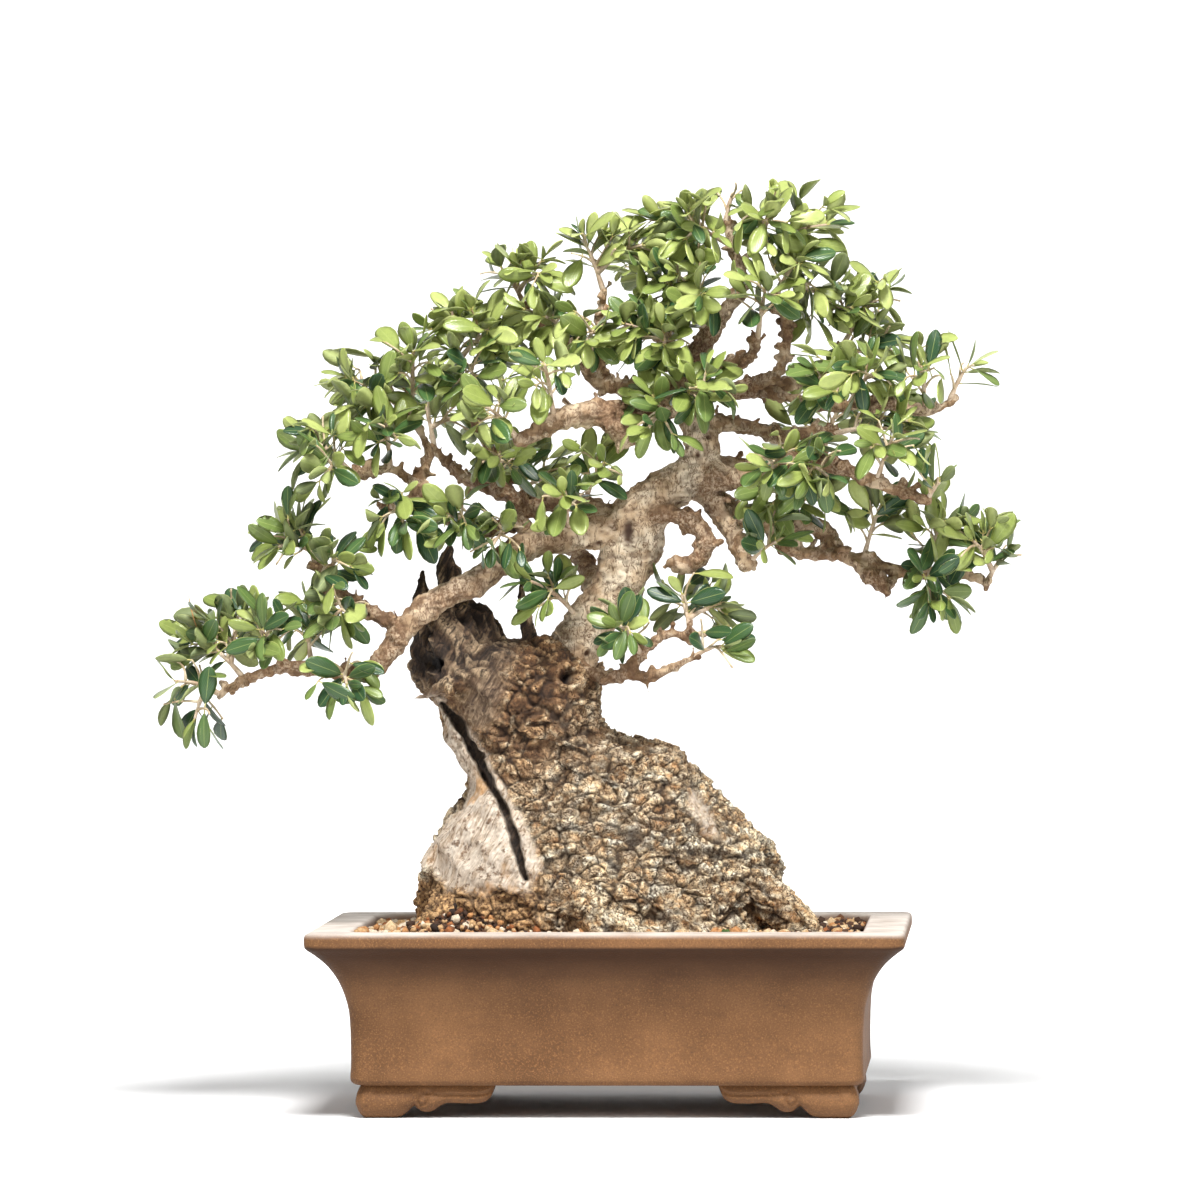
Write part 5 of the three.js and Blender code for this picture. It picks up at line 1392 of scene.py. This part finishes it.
tree.links.new(ranged(tree, under, 0.0, 1.0, 0.3, 0.62), shader.inputs["Roughness"])

green_wood, tree, shader = new_material("twig_bark", 0.75)
place = object_place(tree)
fine = texture(tree, place, 700, 4, 0.6)
broad = texture(tree, place, 110, 3)
twig_tone = layered(
    tree, ramp(tree, broad, (0.3, (168, 140, 114)), (0.5, (200, 178, 152)), (0.7, (224, 208, 188))),
    (ranged(tree, fine, 0.45, 0.3, 0.0, 0.7), (128, 96, 72)),
    (number(tree, "young"), (192, 186, 104)))
dress(tree, shader, twig_tone, bumped(tree, fine, 0.5, 0.0005))


def grow_spray(number_of, root, tips):
    """One spray: its shoots, twiglets and leaves, in the space of its CAD node."""
    node = f"spray_{number_of:02d}"
    rng = np.random.default_rng(1000 + 37 * number_of)
    solid = unpotted(mesh_points(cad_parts[node]))
    low, high = solid.min(axis=0) - LEAF_ROOM, solid.max(axis=0) + LEAF_ROOM

    # the shoots, and twiglets that leave them by the golden angle
    reach = np.linalg.norm(tips - root, axis=1)
    rise = SHOOT_BOW * reach[:, None] * (0, 0, 1)
    main = arcs(root[None], tips[:1], rise[:1])
    fork = along_paths(main, np.array([[SIDE_SHOOT]]))[0][0]
    starts = np.concatenate([root[None], np.repeat(fork, len(tips) - 1, axis=0)])
    shoots = arcs(starts, tips, rise)
    each = np.clip(np.round(reach / TWIGLET_SPACING), *TWIGLETS).astype(int)
    owner = np.repeat(np.arange(len(tips)), each)
    order = np.arange(len(owner)) - np.repeat(np.cumsum(each) - each, each)
    first, span = TWIGLET_SPAN
    share = first + span * (order + rng.uniform(0, 0.8, len(owner))) / each[owner]
    seat, ahead = (row[:, 0] for row in along_paths(shoots[owner], share[:, None]))
    turn = (GOLDEN_ANGLE * np.arange(len(owner)) + rng.uniform(0, 1, len(owner)))[:, None]
    heading = unit(0.6 * ahead + spoke_round(ahead, turn) + (0, -0.05, 0.25))
    length = rng.uniform(*TWIGLET_LENGTH, (len(owner), 1))
    bow = length * ((0, 0, 0.08) + 0.05 * rng.normal(size=heading.shape))
    twiglets = arcs(seat, seat + length * heading, bow)

    # pairs of leaves, and a tuft of smaller ones at each tip
    pairs = [leaf_pairs(shoots, SHOOT_PAIRS, rng), leaf_pairs(twiglets, TWIGLET_PAIRS, rng)]
    seat, ahead, heading, scale, age = (np.concatenate(rows) for rows in zip(*pairs))
    leaves = len(seat)
    outward = unit(seat - CROWN_MIDDLE)
    face = unit(outward + LIGHT) + 0.7 * ahead + 0.55 * rng.normal(size=(leaves, 3))
    across = unit(np.cross(face, heading))
    face = np.cross(heading, across)
    length = LEAF_LENGTH * scale[:, 0] * rng.uniform(0.84, 1.18, leaves)
    blades = leaf_shapes(length, length * rng.uniform(0.4, 0.53, leaves), rng.uniform(0.0, 0.3, leaves),
                         rng.uniform(0.05, 0.5, leaves), 0.3 * rng.normal(size=leaves))
    base = seat + heading * PETIOLE * scale
    placed = (base[:, None] + blades[:, :, :1] * heading[:, None] + blades[:, :, 1:2] * across[:, None]
              + blades[:, :, 2:] * face[:, None])

    # what would leave the spray's space, run into the wood or cut another leaf is left out
    inside = ((placed > low) & (placed < high)).all(axis=(1, 2))
    world = potted(placed.reshape(-1, 3)) * MM
    inside &= ((world > cad_box[0]) & (world < cad_box[1])).reshape(leaves, -1).all(axis=1)
    _, gap = nearest_centre(placed[:, [leaf_middle, -1]].reshape(-1, 3))
    inside &= (gap.reshape(-1, 2) > WOOD_CLEARANCE).all(axis=1)
    middles = base + 0.55 * length[:, None] * heading
    apart = np.linalg.norm(middles[:, None] - middles[None], axis=2) + 99 * ~inside[None]
    keep = inside & ~(np.tril(apart < LEAF_CLEARANCE, -1)).any(axis=1)
    placed, heading, base, seat, age = placed[keep], heading[keep], base[keep], seat[keep], age[keep, 0]
    leaves = len(placed)

    # how young each leaf is, by its place along its shoot and at random, plus painted light: lighter the
    # higher it sits in the crown and in its spray
    young_of = np.clip(0.12 + 0.32 * np.clip((base[:, 2] - 290) / 320, 0, 1) + 0.4 * (age - 0.6)
                       + 0.14 * (base[:, 2] - root[2]) / 40 + 0.22 * rng.normal(size=leaves), 0, 0.84)
    if number_of == DEAD_LEAF[0]:
        young_of[np.argmin(np.linalg.norm(base - DEAD_LEAF[1], axis=1))] = 1.0

    t = np.linspace(0, 1, SHOOT_STATIONS)
    knobbed = 1 + 0.14 * np.sin(14 * t)
    petioles = np.stack([seat - 0.4 * heading, (seat + base) / 2, base + 0.9 * heading], axis=1)
    shoot_radii, twiglet_radii = (
        (base_radius - less * t) * knobbed for base_radius, less in (SHOOT_RADII, TWIGLET_RADII))
    wood_parts = [tubes(shoots, np.broadcast_to(shoot_radii, shoots.shape[:2]), 8),
                  tubes(twiglets, np.broadcast_to(twiglet_radii, twiglets.shape[:2]), 6),
                  tubes(petioles, np.full((leaves, 3), PETIOLE_RADIUS), 4)]
    greenness = [np.full(len(part[0]), green) for part, green in zip(wood_parts, (0.0, 0.15, 0.85))]
    leaf_offsets = (np.arange(leaves) * leaf_points)[:, None, None]
    groups = [(leaf_quads + leaf_offsets).reshape(-1, 4), (leaf_ends + leaf_offsets).reshape(-1, 3)]
    total = leaves * leaf_points
    points = [placed.reshape(-1, 3)]
    for part_points, part_faces in wood_parts:
        groups += [group + total for group in part_faces]
        points.append(part_points)
        total += len(part_points)
    spray = new_object(node + "_leaves_and_twigs", potted(np.concatenate(points)) * MM, groups)
    leaf_faces = leaves * (len(leaf_quads) + len(leaf_ends))
    is_wood = np.arange(len(spray.data.polygons)) >= leaf_faces
    spray.data.polygons.foreach_set("material_index", is_wood.astype(np.int32))
    give(spray, young=np.concatenate([np.repeat(young_of, leaf_points), *greenness]))
    give(spray, "FACE", under=np.concatenate([
        np.tile(quad_under, leaves), np.tile(end_under, leaves), np.zeros(is_wood.sum())]))
    uv_points = np.zeros((total, 2))
    uv_points[:leaves * leaf_points] = np.column_stack([
        np.tile(leaf_across / 2 + 0.5, leaves), np.tile(leaf_along, leaves)])
    corners = np.empty(len(spray.data.loops), np.int32)
    spray.data.loops.foreach_get("vertex_index", corners)
    leaf_uv = spray.data.uv_layers.new(name="leaf")
    leaf_uv.data.foreach_set("uv", uv_points[corners].astype(np.float32).ravel())
    spray.data.materials.append(foliage)
    spray.data.materials.append(green_wood)
    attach(spray, "root")
    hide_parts(node)


for number_of, (root, *tips) in enumerate(SPRAYS, 1):
    grow_spray(number_of, np.array(root, float), np.array(tips, float))
